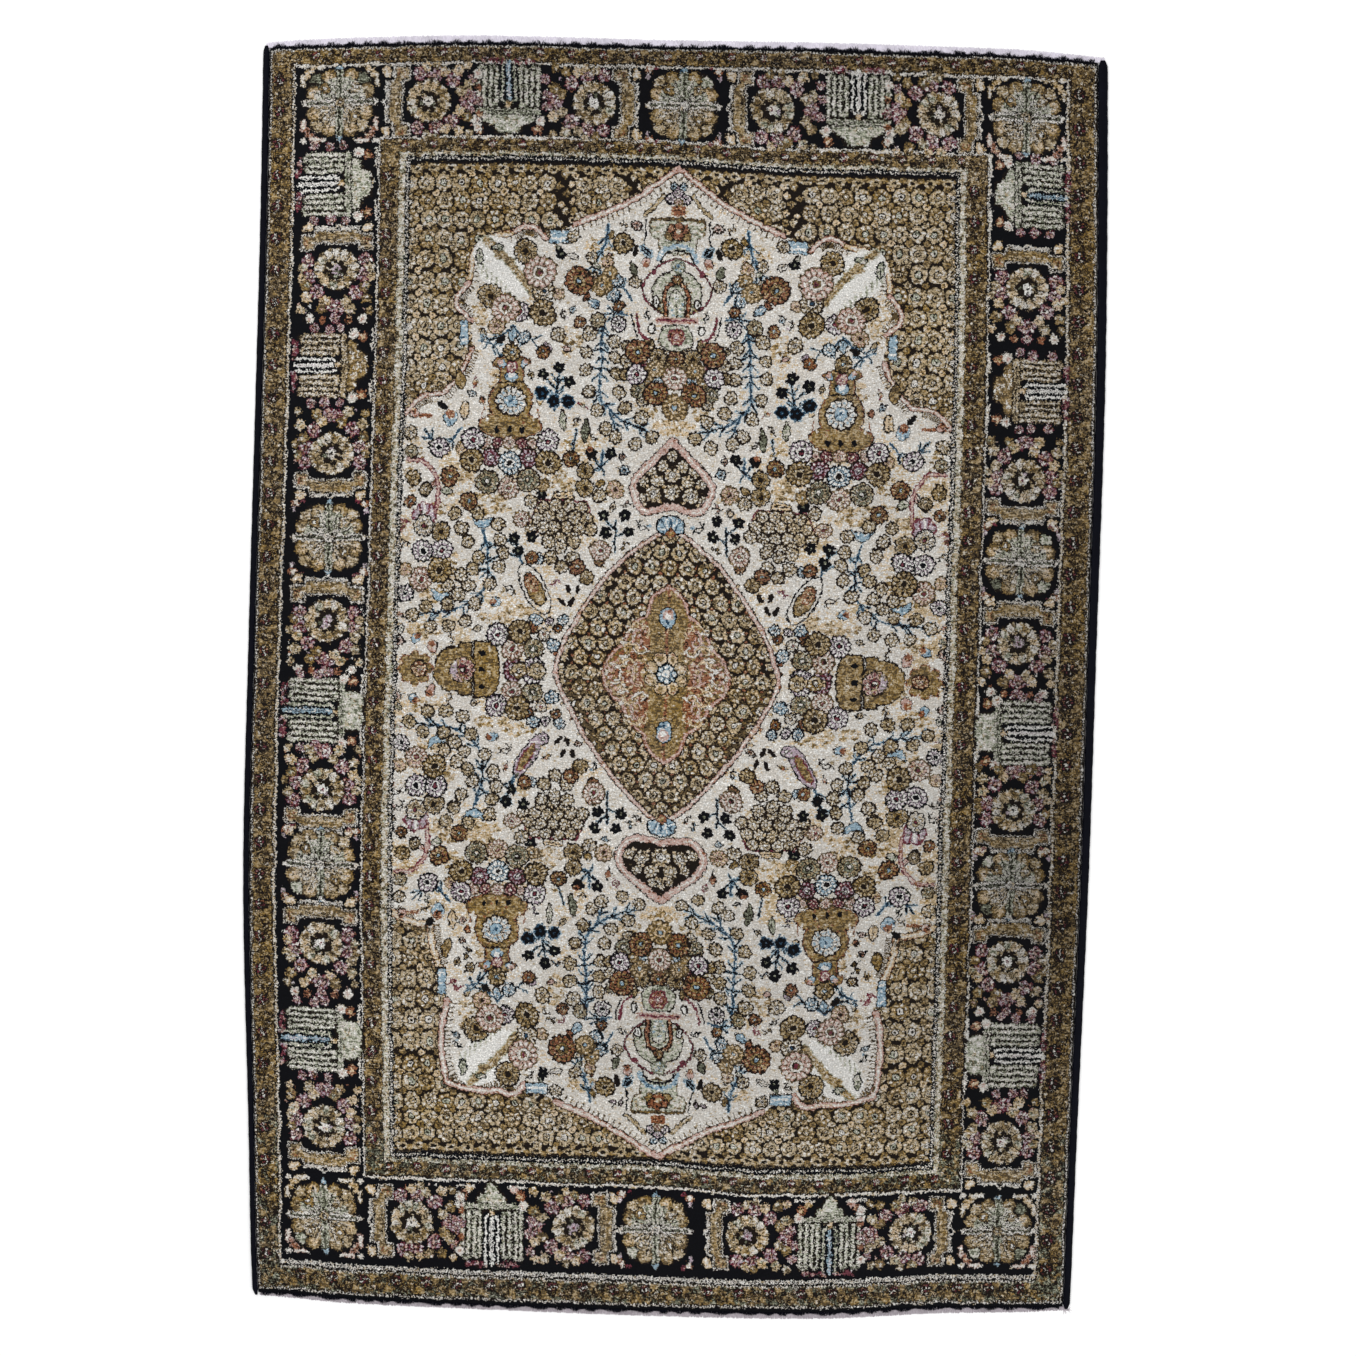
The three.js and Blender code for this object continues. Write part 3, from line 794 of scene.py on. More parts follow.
# place, radius, turn, cap and heart
BUDS = [(364, 49, 9, 2.4, SKY, RUST), (339, 37, 10, 1.2, ROSE, RUST), (249, 103, 9, 0.2, SKY, RUST),
        (323, 365, 13, 1.5, SKY, RUST), (120, 321, 8, 1.5, NAVY, RUST), (98, 165, 8, -1.4, RUST, OCHRE),
        (376, 372, 8, 1.2, ROSE, RUST), (250, 445, 7, 0.8, SKY, ROSE), (218, 445, 7, 2.3, SKY, ROSE)]


def rosette(pen, x, y, r):
    """A plain round rosette: a lobed golden ring, a dark ring and a pale eye."""
    turn = dice.uniform(0, 0.8)
    form = pen.at(x, y, 0, 1.0, (dice.uniform(0.97, 1.05), dice.uniform(0.98, 1.08)))
    form.bloom(0, 0, BARK, r + 0.7, 8, 0.07, turn)
    form.bloom(0, 0, pick(SAND, SAND, SAND, OCHRE, SAND), r - 1.1, 8, 0.12, turn)
    form.rays(0, 0, UMBER, r * 0.62, r - 1, 8, 0.9, turn + math.pi / 8)
    for px, py in around(8, 0.66 * r, turn):
        form.disc(px, py, pick(IVORY, SAND, SAND, PEACH), 1.9)
    form.disc(0, 0, BARK, 0.42 * r)
    form.disc(0, 0, pick(CELADON, SAND, SAND, IVORY), 0.42 * r - 1.7)
    form.disc(0, 0, BARK, 1.9)
    if dice.random() < 0.6:
        form.disc(0.3, 0.3, WHITE, 1.2)


def diamond(pen, x, y, r, ink, width):
    pen.shape([(x - r, y), (x, y + r), (x + r, y), (x, y - r)], ink, BARK, width)


def cornflower(pen, x, y):
    """Four touching diamonds, which break the rows of rosettes in the upper corners."""
    for px, py, r in ((x, y + 13, 8), (x - 9, y, 7), (x + 8, y - 4, 7), (x - 2, y - 13, 6)):
        diamond(pen, px, py, r, pick(PEACH, SAND, OCHRE), 1.6)
        pen.disc(px, py, pick(WHITE, BARK), 1.4)


SPANDREL_ROWS = [703, 677, 651, 622, 594, 561, 529, 498, 467, 437, 411, 384, 357]


def spandrel(pen, low):
    """Rows of round rosettes that fill the corners, touching one another on a dark ground."""
    pen.box(-1, 300, 400, 740, BARK)
    for row, y in enumerate(SPANDREL_ROWS):
        pitch = SPANDREL_ROWS[row - 1] - y if row else 26
        for column in range(17):
            x = 389 - 25.1 * column + 2.0 * math.sin(row * 1.7 + column)
            if not low and (abs(x - 165) < 12 or (x - 58) ** 2 + ((y - 712) * 1.4) ** 2 < 15 ** 2):
                cornflower(pen, x, y)
                continue
            rosette(pen, x + dice.uniform(-1, 1), y + dice.uniform(-1, 1), 13.4 + 0.25 * (pitch - 26))
            bead = pick(PEACH, SAND, OCHRE, OCHRE)
            pen.discs(x + 12.5, y + pitch / 2, (BARK, 6.4), (bead, 4.9), (UMBER, 1.6))
    for column in range(17):
        x = 380 - 25 * column
        pen.discs(x, 724, (SAND, 9, 6), (BARK, 4, 2.4))
        pen.disc(x + 12.5, 727, OCHRE, 5, 4)


def vase(pen):
    """The ochre vase beside the panel, on a wide boat-shaped foot, drawn about its own axis."""
    for grow, ink in ((2.6, BARK), (1.2, RUST), (0, OCHRE)):
        pen.disc(0, 356, ink, 44 + grow, 18 + grow)
        pen.disc(0, 390, ink, 30 + grow, 32 + grow)
        pen.box(-16 - grow, 416, 16 + grow, 440, ink)
        pen.disc(0, 446, ink, 26 + grow, 8 + grow)
    for side in (-1, 1):
        pen.line([(side * 34, 402), (side * 35, 372), (side * 33, 364)], IVORY, 3.0)
        pen.line([(side * 39, 381), (side * 42, 360)], RUST, 1.8)
        pen.discs(side * 42, 392, (BARK, 5, 6), ((PEACH, RUST)[side > 0], 3.4, 4.4))
    flecks(pen, 50, (-24, 24), (340, 415), (SAND, RUST, OCHRE, OCHRE), 2.4, 1.2)
    flower(pen, 0, 391, 22, (BARK, IVORY, SKY, TEAL), 13)
    pen.discs(0, 391, (SKY, 6), (TEAL, 2.4))
    pen.box(-20, 417.5, 20, 420, BARK)
    pen.disc(0, 428, NAVY, 11, 8)
    pen.disc(0, 427, SKY, 9.5, 7)
    pen.disc(0, 429, WHITE, 5, 4)
    flower(pen, 0, 441, 8, (WINE, ROSE, IVORY, WINE), 6)
    flower(pen, 0, 462, 13, (BARK, OCHRE, SAND, SKY), 9)
    for x in (-18, 0, 19):
        pen.disc(x, 350, NAVY, 3.2, 5.0)
        pen.disc(x + 5, 345, OCHRE, 3, 2)


def side_vase(pen):
    """The vase lying on the middle line, its foot towards the medallion."""
    for grow, ink in ((2.6, BARK), (0, OCHRE)):
        pen.disc(306, 6, ink, 30 + grow)
        pen.box(282 - grow, -30 - grow, 298 + grow, 42 + grow, ink)
        pen.box(250 - grow, -32 - grow, 276 + grow, 44 + grow, ink)
        pen.disc(252, 6, ink, 10 + grow, 36 + grow)
    pen.box(336, -14, 341, 26, BARK)
    pen.box(336.8, -13, 340.2, 25, IVORY)
    pen.blooms(364, 6, 8, 0.3, (RUST, 27), (OCHRE, 24.6))
    flower(pen, 358, 6, 12, (BARK, RUST, PEACH, ROSE), 7)
    flower(pen, 294, 6, 18, (BARK, ROSE, WINE, IVORY), 11)
    pen.fill(lambda u, v: (np.hypot(u - 298, v - 6) < 13) & (u > 302), 16, LILAC, 298, 6)
    for y in (30, 6, -18):
        pen.disc(266, y, NAVY, 5.0, 3.6)
        pen.disc(256, y + 6, SAND, 3, 5)
    flecks(pen, 30, (284, 332), (-18, 32), (SAND, OCHRE, SAND), 1.4, 2.4)


FRUIT = [(130, 241), (148, 243), (166, 243), (183, 240), (121, 226), (139, 227), (157, 228), (175, 227),
         (192, 225), (114, 211), (131, 211), (149, 212), (167, 212), (184, 211), (201, 209), (140, 197),
         (157, 196), (174, 198)]


def basket(pen):
    """The hanging fruit basket, with a rust rim and rosettes for fruit."""
    pen.shape([(144, 262), (168, 262), (172, 252), (140, 252)], PEACH, BARK, 1.8)
    pen.line([(146, 257), (166, 257)], BARK, 1.4)
    rim = [(122, 250), (190, 250), (197, 238), (203, 224), (210, 207), (106, 207), (112, 224), (116, 238)]
    pen.shape(rim, PEACH, WINE, 2.0)
    pen.shape([(124, 246), (188, 246), (202, 212), (198, 204), (114, 204), (110, 212)], BARK, RUST, 1.6)
    for x, y in FRUIT:
        flower(pen, x, y, 9.6, (BARK, SAND, IVORY, IVORY), 8)


def panel_pot(pen):
    """The pot at the head of the middle panel, with its flowers and handles."""
    pen.box(0, 656, 39, 659.5, UMBER)
    pen.box(0, 662, 11, 675, RUST)
    for x, y, r, kind in ((0, 694, 9, "lilac"), (11, 685, 7, "navy"), (0, 681, 6, "pink"),
                          (7, 703, 6, "sky")):
        flower(pen, x, y, r, KINDS[kind], 6)
    pen.lines([(21, 690), (32, 676), (47, 663)], (BARK, 7.5), (SAND, 4.6))
    pen.line([(45, 656), (46, 630), (50, 616)], NAVY, 2.4)
    bowl = [(0, 655), (39, 655), (39, 640), (36, 632), (27, 628), (26, 610), (0, 606)]
    pen.shape(bowl, CELADON, UMBER, 2.2)
    flecks(pen, 60, (0, 36), (632, 653), (IVORY, SAND, CELADON), 2.6, 1.4)
    for x, y, r in ((12, 634, 8), (9, 643, 7), (0, 647, 7), (0, 634, 9)):
        pen.blooms(x, y, 6, 0.25, (BARK, r + 1), ((OCHRE, RUST)[r % 2], r - 0.8))
    pen.disc(0, 638, SAND, 4)
    pen.line(smooth([(0, 619), (12, 617), (22, 610), (28, 598)], False, 4), SKY, 6.5)
    pen.line(smooth([(0, 612), (12, 610), (20, 603), (24, 595)], False, 4), NAVY, 3.0)
    leaf(pen, 45, 611, 22, 11, 0.7, NAVY, SKY)
    bud(pen, 45, 595, 8.5, -1.5, ROSE, RUST)


def panel_vase(pen):
    """The round vase of the middle panel on its ivory lozenge."""
    body = lozenge(50, 40, 1.2)
    for up, deep in ((1, 1.1), (-1, 1.0)):
        half = [(x, 556 + up * deep * (y - 6)) for x, y in body]
        pen.shape(half + [(0, 556)], IVORY)
        pen.lines(half, (BARK, 3.4), (WINE, 1.6))
    pen.disc(35, 580, WINE, 5)
    pen.discs(0, 550, (BARK, 37, 35), (CELADON, 34.8, 32.8))
    flecks(pen, 70, (4, 36), (518, 580), (OCHRE, IVORY, SAND), 2.0, 1.0,
           lambda x, y: x < 40 - abs(y - 540) * 0.8)
    pen.disc(0, 572, CELADON, 18, 9)
    pen.lines(smooth([(0, 566), (12, 560), (17, 546), (16, 518)], False, 4), (BARK, 7.5), (RUST, 3.4))
    pen.shape([(0, 556), (8, 551), (11, 540), (12, 516), (0, 516)], CELADON, BARK, 1.6)
    for y in range(520, 552, 4):
        pen.disc((y * 7) % 9, y, (SKY, WHITE)[y % 8 // 4], 2.6, 1.3)
    flower(pen, 0, 590, 10, (MOSS, CELADON, SKY, TEAL), 6)
    flower(pen, 0, 570, 8, (BARK, OCHRE, RUST, SAND))
    pen.discs(30, 537, (BARK, 6, 9), (WHITE, 3.2, 6), (BARK, 1.4, 4))


def panel_foot(pen):
    """The rose foot of the middle panel, its handles and the peach leaves far below it."""
    pen.box(0, 508, 31, 517, ROSE)
    pen.box(0, 511, 29, 514, WINE)
    foot = smooth([(0, 506), (17, 503), (23, 492), (23, 478), (12, 470), (0, 467)], False, 3)
    pen.shape(foot, CELADON, BARK, 1.8)
    flower(pen, 0, 488, 13, (WINE, RUST, ROSE, IVORY), 6)
    pen.line(smooth([(58, 520), (55, 504), (50, 492), (38, 484)], False, 4), WINE, 3.6)
    pen.line(smooth([(64, 520), (61, 502), (55, 488)], False, 4), NAVY, 2.4)
    pen.discs(36, 500, (BARK, 5.5, 8), (WHITE, 3, 5))
    for x, y in ((0, 361), (6, 353), (12, 366), (16, 352), (24, 362)):
        pen.disc(x, y, PEACH, 7, 5)
    for x in (0, 8, 16):
        pen.line([(x * 0.6, 356), (x * 1.2, 370)], OCHRE, 1.6)


def centre_panel(pen):
    """The tall panel on the middle line: pot, vase and foot."""
    panel_pot(pen)
    panel_vase(pen)
    panel_foot(pen)


def ribbon_edge(pen, outline, ink, width):
    """A plain pale ribbon with a dark line on both sides that follows an outline."""
    curve = smooth(outline)
    pen.lines(curve, (BARK, width + 3.2), (ink, width))
    pen.line(curve[4:-4], IVORY, width * 0.25)


def medallion_rings(pen, corners, outline):
    """The rows of rosettes on the medallion's dark ground, and the beads inside its edge."""
    for row in range(10):
        for column in range(9):
            x = 24.8 * column + (0 if row % 2 else 12.4)
            y = 6 + 21.8 * row
            gap = min(math.hypot(px - x, py - y) for px, py in outline)
            if y > np.interp(x, [p[0] for p in corners], [p[1] for p in corners]) or gap < 4:
                continue
            rosette(pen, x, y, min(11.8, gap + 1))
            for py in (y + 3, y - 9):
                diamond(pen, x + 12.4, py, 3.2, (PEACH, RUST)[row % 2], 1.0)
    for px, py in outline[1::3]:
        pen.discs(px * 0.955, py * 0.96, (BARK, 5.2), (SAND, 3.8))


# place and size of each pink tendril in the heart
TENDRILS = [(44, 72, 0.9), (54, 60, 1.0), (42, 56, 0.9), (52, 42, 1.0), (66, 26, 1.0), (80, 20, 0.8),
            (56, 20, 1.0), (74, 9, 0.9), (44, 12, 0.8), (32, 70, 0.7), (36, 40, 0.8)]


def medallion_heart(pen):
    """The medallion's golden heart, its rust lobes and its pink tendrils."""
    heart = smooth(HEART, False, 4)
    pen.line(heart, BARK, 8.0)
    pen.shape(heart + [(0, 0)], OCHRE, RUST, 5.4)
    pen.line(heart, ROSE, 3.0)
    flecks(pen, 60, (0, 36), (24, 110), (SAND, UMBER, OCHRE, OCHRE), 2.8, 1.2,
           lambda x, y: under(x, y, HEART, 8))
    pen.shape([(x * 0.93, y * 0.93) for x, y in heart if y < 90] + [(36, 6), (24, 44)], RUST)
    flecks(pen, 110, (20, 90), (2, 78), (OCHRE, OCHRE, OCHRE, PEACH), 3.4, 2.2,
           lambda x, y: (x > 38 or y < 40) and under(x, y, HEART, 6))
    for k, (x, y, size) in enumerate(TENDRILS):
        curl = pen.at(x, y, 2.2 * k, size)
        path = smooth([(-14, -4), (-7, 6), (4, 7), (9, -1), (3, -6)], False, 4)
        curl.lines(path, (UMBER, 4.6), ((PEACH, IVORY, ROSE)[k % 3], 3.0))
        curl.disc(-4, -3, ROSE, 2.4)
        curl.disc(12, 2, IVORY, 2.6, 1.6)


def medallion_middle(pen):
    """The blue drop above the medallion's middle, and the eight-petalled flower on it."""
    pen.discs(0, 88, (NAVY, 12.5, 16.5), (SKY, 10.8, 14.6))
    for y, ink, rx, ry in ((93, ROSE, 8, 8), (90, WHITE, 4, 4), (82, TEAL, 3, 3.4), (113, UMBER, 2.4, 3.4)):
        pen.disc(0, y, ink, rx, ry)
    for k, petal in enumerate(pen.spokes(8, 0.5, y=6)):
        petal.discs(23, 0, (BARK, 10.6, 9.4), ((SAND, PEACH)[k % 2], 9, 7.8), ((PEACH, OCHRE)[k % 2], 5, 4))
        petal.line([(27, -4), (31, 0), (27, 4)], RUST, 1.4)
    flower(pen, 0, 6, 15, (NAVY, SKY, WHITE, BARK), 9)
    pen.discs(0, 6, (WHITE, 4.4), (SKY, 2.0))


def medallion(pen, low):
    """The dark medallion of rosettes with a golden heart of pink tendrils."""
    corners = LOW_MEDALLION if low else MEDALLION
    outline = smooth(corners, False, 4)
    pen.shape(outline + [(0, 0)], UMBER if low else BARK)
    medallion_rings(pen, corners, outline)
    ribbon_edge(pen, corners, ROSE, 5.2)
    medallion_heart(pen)
    medallion_middle(pen)


# place and size of each rosette in the upper and the lower pendant
PENDANT_ROSETTES = [(0, 319, 9), (14, 305, 9), (32, 298, 10), (42, 282, 8), (0, 292, 12), (22, 283, 11),
                    (0, 267, 13), (27, 263, 13), (45, 256, 9)]
LOW_ROSETTES = [
    (0, 274, 15), (28, 274, 12), (46, 269, 9), (14, 295, 11), (34, 292, 8), (0, 314, 9), (12, 312, 7)]


def pendant(pen, low):
    """A pink-edged shield of rosettes, and the blue fan between it and the medallion."""
    corners = LOW_PENDANT if low else PENDANT
    pen.shape(smooth(corners, False, 3) + [(0, 280)], BARK)
    rosettes = LOW_ROSETTES if low else PENDANT_ROSETTES
    for x, y, r in rosettes:
        flower(pen, x, y, r, (BARK, SAND, IVORY, WHITE), 8)
    for x, y, r in rosettes[1:]:
        pen.discs(x - r * 0.8, y - r * 0.8, (BARK, 3.6), (PEACH, 2.6))
    ribbon_edge(pen, corners, ROSE, 9.6)
    pen = pen.at(0, 9 if low else 0)
    fan = smooth([(0, 233), (14, 230), (20, 219), (17, 208), (0, 207)], False, 3)
    pen.shape(mirrored(fan), SKY, NAVY, 2.4)
    for x in (-12, -6, 0, 6, 12):
        pen.line([(x * 0.4, 210), (x * 1.2, 228)], (TEAL, WHITE)[int(x / 6) % 2], 1.9)
    pen.shape([(-8, 207), (0, 218), (8, 207), (0, 197)], RUST, BARK, 1.4)
    pen.disc(0, 207, OCHRE, 3.4)


def willow_cup(pen):
    """A small blue cup from which willow twigs grow."""
    pen.shape(smooth([(-16, 6), (-10, -6), (0, -10), (10, -6), (16, 6), (0, 2)], True, 3), SKY, NAVY, 1.6)


def bird(pen, low):
    """A plain bird of ovals: above, a ribbed rust wing over an olive body; below, one with a lilac head."""
    if low:
        for grow, body in ((2.2, NAVY), (0, LILAC)):
            pen.disc(-6, 0, body, 34 + grow, 11 + grow)
            pen.disc(25, -6, body, 8 + grow)
        pen.discs(-10, 1, (WINE, 24, 8), (OCHRE, 21.6, 5.6))
        pen.discs(26, -7, (BARK, 3.4), (WHITE, 1.8))
        return
    pen.discs(0, 0, (NAVY, 40, 18), (IVORY, 37.6, 15.6), (BARK, 26, 13), (OCHRE, 23.8, 10.8))
    pen.disc(-9, 0, RUST, 14, 9.6)
    for y in (-6, -2, 2, 6):
        pen.line([(-18, y), (1, y)], SAND, 1.5)
    pen.disc(13, 0, SAND, 6, 5)


def ribbon(pen, path, ink, width):
    """The band that edges the corner pieces: a thin outline, a pale band and small hooks inside."""
    curve = smooth(path)
    pen.lines(curve, (BARK, width + 3.0), (RUST, width + 0.6), (ink, width - 0.8))
    pen.line(curve[3:-3], IVORY, width * 0.36)
    for (ax, ay), (bx, by) in list(zip(curve, curve[1:]))[1::2]:
        length = math.hypot(bx - ax, by - ay) + 0.01
        nx, ny = (by - ay) / length, -(bx - ax) / length
        side = 1 if nx * -ax + ny * (450 - ay) > 0 else -1
        reach = side * (width / 2 + 5)
        hook = [(ax + nx * reach * part, ay + ny * reach * part) for part in (0.7, 1.5)]
        pen.line(hook, UMBER, 1.9)


def willow_branches(pen, path):
    """Short blue twigs that slant away on both sides of a long stem."""
    if len(path) < 3:
        return
    curve = smooth(path, False, 12)
    walked = 0.0
    for (ax, ay), (bx, by) in zip(curve, curve[1:]):
        walked += math.hypot(bx - ax, by - ay)
        if walked < TWIG_GAP:
            continue
        walked = 0.0
        along = math.atan2(by - ay, bx - ax)
        for way in (-1, 1):
            end = (ax + 15 * math.cos(along + 0.7 * way), ay + 15 * math.sin(along + 0.7 * way))
            pen.lines([(ax, ay), end], (SKY, 4.0), (NAVY, 2.0))


def palm(pen):
    """The pale leaf with an olive stem that lies across each corner lobe."""
    blade = pen.at(250, 582, 0.75)
    blade.disc(0, 0, WHITE, 54, 34)
    for k in range(9):
        blade.line([(10 * k - 42, -18), (10 * k - 52, -28)], CELADON, 3.0)
    stem = scallop((210, 548), (278, 622), 4)
    branch = [(262, 598), (238, 592)]
    for ink, wide, thin in ((CELADON, 13, 9), (SAND, 10, 7), (OCHRE, 6.5, 4.5), (SAND, 2.4, 1.8)):
        pen.line(stem, ink, wide)
        pen.line(branch, ink, thin)
    for x, y, length, width, turn in ((287, 598, 25, 11, 1.5), (260, 611, 19, 8, -0.1)):
        leaf(pen, x, y, length, width, turn, CELADON, NAVY)
        pen.line([(x - 3, y - 3), (x + 3, y + 3)], MOSS, 2.0)
    for x, y in ((279, 487), (257, 486)):
        leaf(pen, x, y, 15, 8, 1.5, SAND)


TWIG_GAP = 19
RIBBON_INKS = (ROSE, ROSE, PEACH, ROSE, ROSE)
RIBBON_WIDTHS = (7.5, 6.5, 7, 6.5, 5.5)
LOW_RIBBON_WIDTH = 8.5

# the blue tabs that join one ribbon to the next, above and below: left, bottom, right, top
TABS = [(157, 620, 184, 637), (300, 470, 311, 504)]
LOW_TABS = [(162, 618, 192, 633), (312, 452, 323, 490)]

# middle and half sizes of the soft ochre washes under the flowers
WASHES = [
    (150, 272, 26, 9), (262, 236, 30, 8), (214, 90, 26, 8), (330, 236, 22, 9), (44, 380, 16, 22),
    (300, 250, 22, 12), (250, 80, 26, 9), (304, 287, 16, 12), (172, 288, 18, 14), (258, 254, 20, 10),
    (374, 300, 12, 40), (335, 112, 22, 12), (318, 150, 14, 30), (262, 400, 10, 40), (150, 480, 14, 24),
    (110, 615, 26, 14), (282, 520, 10, 30), (352, 60, 24, 10), (200, 330, 60, 8)]


def field_ground(pen, low):
    """The ivory field inside its stepped edge, with the ribbons and tabs along the edge."""
    arch = smooth(LOW_ARCH if low else ARCH, False, 3)
    pen.shape(arch + [(400, 366), (400, -20), (-2, -20), (-2, 731)], IVORY)
    for k, path in enumerate(LOW_RIBBONS if low else RIBBONS):
        ribbon(pen, path, RIBBON_INKS[k], LOW_RIBBON_WIDTH if low else RIBBON_WIDTHS[k])
    for x0, y0, x1, y1 in LOW_TABS if low else TABS:
        pen.box(x0 - 1.5, y0 - 1.5, x1 + 1.5, y1 + 1.5, BARK)
        pen.box(x0, y0, x1, y1, SKY)
        pen.box(x0 + 2, y0 + 5, x1 - 2, y0 + 8, WHITE)
    pen.box(350, 366, 383, 371, RUST)


def washes(pen):
    """Soft ochre patches, sixty small discs to each."""
    for x, y, rx, ry in WASHES:
        for k in range(60):
            a, reach = dice.uniform(0, 6.28), math.sqrt(dice.uniform(0, 1))
            dx, dy = rx * reach * math.cos(a), ry * reach * math.sin(a)
            ink = (PEACH, OCHRE, PEACH, SAND, IVORY)[k % 5]
            pen.disc(x + dx, y + dy, ink, dice.uniform(2, 5), dice.uniform(1.2, 3))


def stems(pen):
    """Blue stems with a dark core and side twigs."""
    for path in STEMS:
        pen.line(smooth(path, False, 4), SKY, 5.6 if len(path) > 3 else 4.4)
        willow_branches(pen, path)
    for path in STEMS:
        pen.line(smooth(path, False, 4), NAVY, 2.6)
        pen.line(smooth(path, False, 4)[:-4], TEAL, 2.2)


def side_scroll(pen):
    """The wine scroll by the field's side, with its pale eye and lilac blossom."""
    scroll = smooth([(384, 306), (362, 304), (348, 290), (339, 272), (338, 240), (346, 214)], False, 4)
    pen.lines(scroll, (WINE, 6.5), (ROSE, 3.0))
    pen.discs(357, 262, (BARK, 9, 12), (WHITE, 5.5, 8.5), (BARK, 2.4, 4.5))
    pen.bloom(356, 227, WINE, 19, 5, 0.2, 1.2)
    pen.bloom(356, 227, LILAC, 16, 5, 0.25, 1.2)
    for x in (349, 356, 363):
        pen.line([(x, 240), (356 + (x - 356) * 0.5, 216)], (WHITE, WINE)[x % 2], 3.0)


def blossoms(pen):
    """The field's small rosettes, navy blossoms, buds and, from small to large, its flowers."""
    for x, y in SMALL_ROSETTES:
        flower(pen, x, y, 9.6, (BARK, SAND, pick(IVORY, IVORY, SAND), IVORY), 8)
    for x, y in NAVY_BLOSSOMS:
        blue = 385 < y < 410
        if blue:
            pen.blooms(x, y, 6, 0.2, (SKY, 11.5), (TEAL, 10.4))
        pen.bloom(x, y, NAVY, 9.2, 5, 0.35, dice.uniform(0, 1))
        pen.disc(x, y, TEAL if blue else MOSS, 1.8)
    for row in BUDS:
        bud(pen, *row)
    for x, y, r, kind in sorted(FIELD_FLOWERS, key=lambda row: row[2]):
        flower(pen, x, y, r, KINDS[kind], 8 if r < SMALL_FLOWER else 11 if r < 16 else 14)


def quarter(pen, low):
    """One quarter of the field, from its corner and ground up to the last twigs."""
    spandrel(pen, low)
    field_ground(pen, low)
    washes(pen)
    palm(pen)
    stems(pen)
    for row in LEAVES:
        leaf(pen, *row)
    vase(pen.at(236, 0))
    side_vase(pen)
    basket(pen)
    bird(pen.at(193, 123, -2.11), low)
    willow_cup(pen.at(271, 218))
    willow_cup(pen.at(330, 112, 0.3, 0.9))
    side_scroll(pen)
    blossoms(pen)
    medallion(pen, low)
    pendant(pen, low)
    centre_panel(pen)
    fill_gaps(pen, 10.5, 13.5, 41)
    fill_gaps(pen, 7.0, 11, 42)


def patch_round(pen, x, y, reach):
    """The square of the chart within reach of a point of a quarter."""
    at = pen.origin + pen.frame @ (x, y)
    low, high = (int((at[1] + way * reach + CHART_LENGTH / 2) / KNOT_Y) for way in (-1, 1))
    left, right = (int((at[0] + way * reach + CHART_WIDTH / 2) / KNOT_X) for way in (-1, 1))
    return pen.chart[low:high, left:right]


def filler(twig, size, local):
    """A small twig with a flower, leaves, a bud, dots or a curl at its end."""
    kind = local.integers(6)
    dark = (NAVY, BARK, WINE, BARK)[local.integers(4)]
    tone = (SAND, OCHRE, ROSE, SKY, LILAC, CELADON, PEACH, RUST)[local.integers(8)]
    twig.line(smooth([(-11, -3), (-4, 1), (3, -1), (9, 3)], False, 3), dark, 2.0 / size)
    if kind < 2:
        flower(twig, 0, 0, 6.5, (dark, tone, IVORY, dark), 6)
    elif kind == 2:
        leaf(twig, -4, 3.5, 9, 5, 0.6, tone, dark)
        leaf(twig, 3, -4, 9, 5, -0.5, tone, dark)
    elif kind == 3:
        bud(twig, 0, 1, 6, 0.4, tone, RUST)
    elif kind == 4:
        for px, py in ((-6, 3), (0, -3), (6, 4)):
            twig.discs(px, py, (dark, 3.2), (tone, 1.6))
    else:
        twig.line(smooth([(-6, -6), (-7, 2), (0, 6), (5, 1), (1, -2)], False, 3), dark, 2.0 / size)
        twig.disc(6, -4, tone, 2.4)


def fill_gaps(pen, reach, pitch, seed):
    """Twigs, buds and small leaves wherever the ivory ground would lie open."""
    local = np.random.default_rng(seed)
    for y0 in np.arange(8, 728, pitch):
        for x0 in np.arange(2, 388, pitch):
            x, y = x0 + local.uniform(0, pitch), y0 + local.uniform(0, pitch)
            patch = patch_round(pen, x, y, reach)
            if patch.size == 0 or (patch != IVORY).any():
                continue
            turn, size = local.uniform(0, 6.28), reach / 9.5
            filler(pen.at(x, y, turn, size), size, local)


# ---------------------------------------------------------------- wear, drift and the whole chart


def wave(shape, cell, size, seed, stretch=1.0):
    """Soft noise, one random value a cell, spread smoothly over an array."""
    local = np.random.default_rng(seed)
    rows, columns = int(shape[0] / cell) + 4, int(shape[1] / cell / stretch) + 4
    grid = local.uniform(-1, 1, (rows, columns))
    for count, cells in ((shape[1], columns), (shape[0], rows)):
        at = np.linspace(1, cells - 2.001, count)
        low = at.astype(int)
        t = eased(at - low)
        grid = (grid[:, low] * (1 - t) + grid[:, low + 1] * t).T
    return size * grid


def noise(shape, *layers):
    """Several waves laid one on another, each with its cell, size, seed and stretch."""
    return sum(wave(shape, *layer) for layer in layers)


def weathered(art, inside, gold):
    """Swaps scattered knots for a darker or a paler dye, as soiled and rubbed silk shows."""
    grain = noise(art.shape, (2.6, 1.0, 21), (5.5, 0.8, 22), (2.2, 0.9, 23, 4.0))
    dark = np.array(SOILED)[art] - np.where(inside, 0.0, 0.15)
    worn = np.where(grain > dark, np.array(DARKER, np.uint8)[art], art)
    wash = wave(art.shape, 50, 1.0, 24) + 0.5 * grain
    for more, ink in ((0.0, PEACH), (0.4, SAND)):
        worn = np.where((wash > gold + more) & (art == IVORY), ink, worn)
    return np.where(grain < -np.array(RUBBED)[art], np.array(PALER, np.uint8)[art], worn).astype(np.uint8)


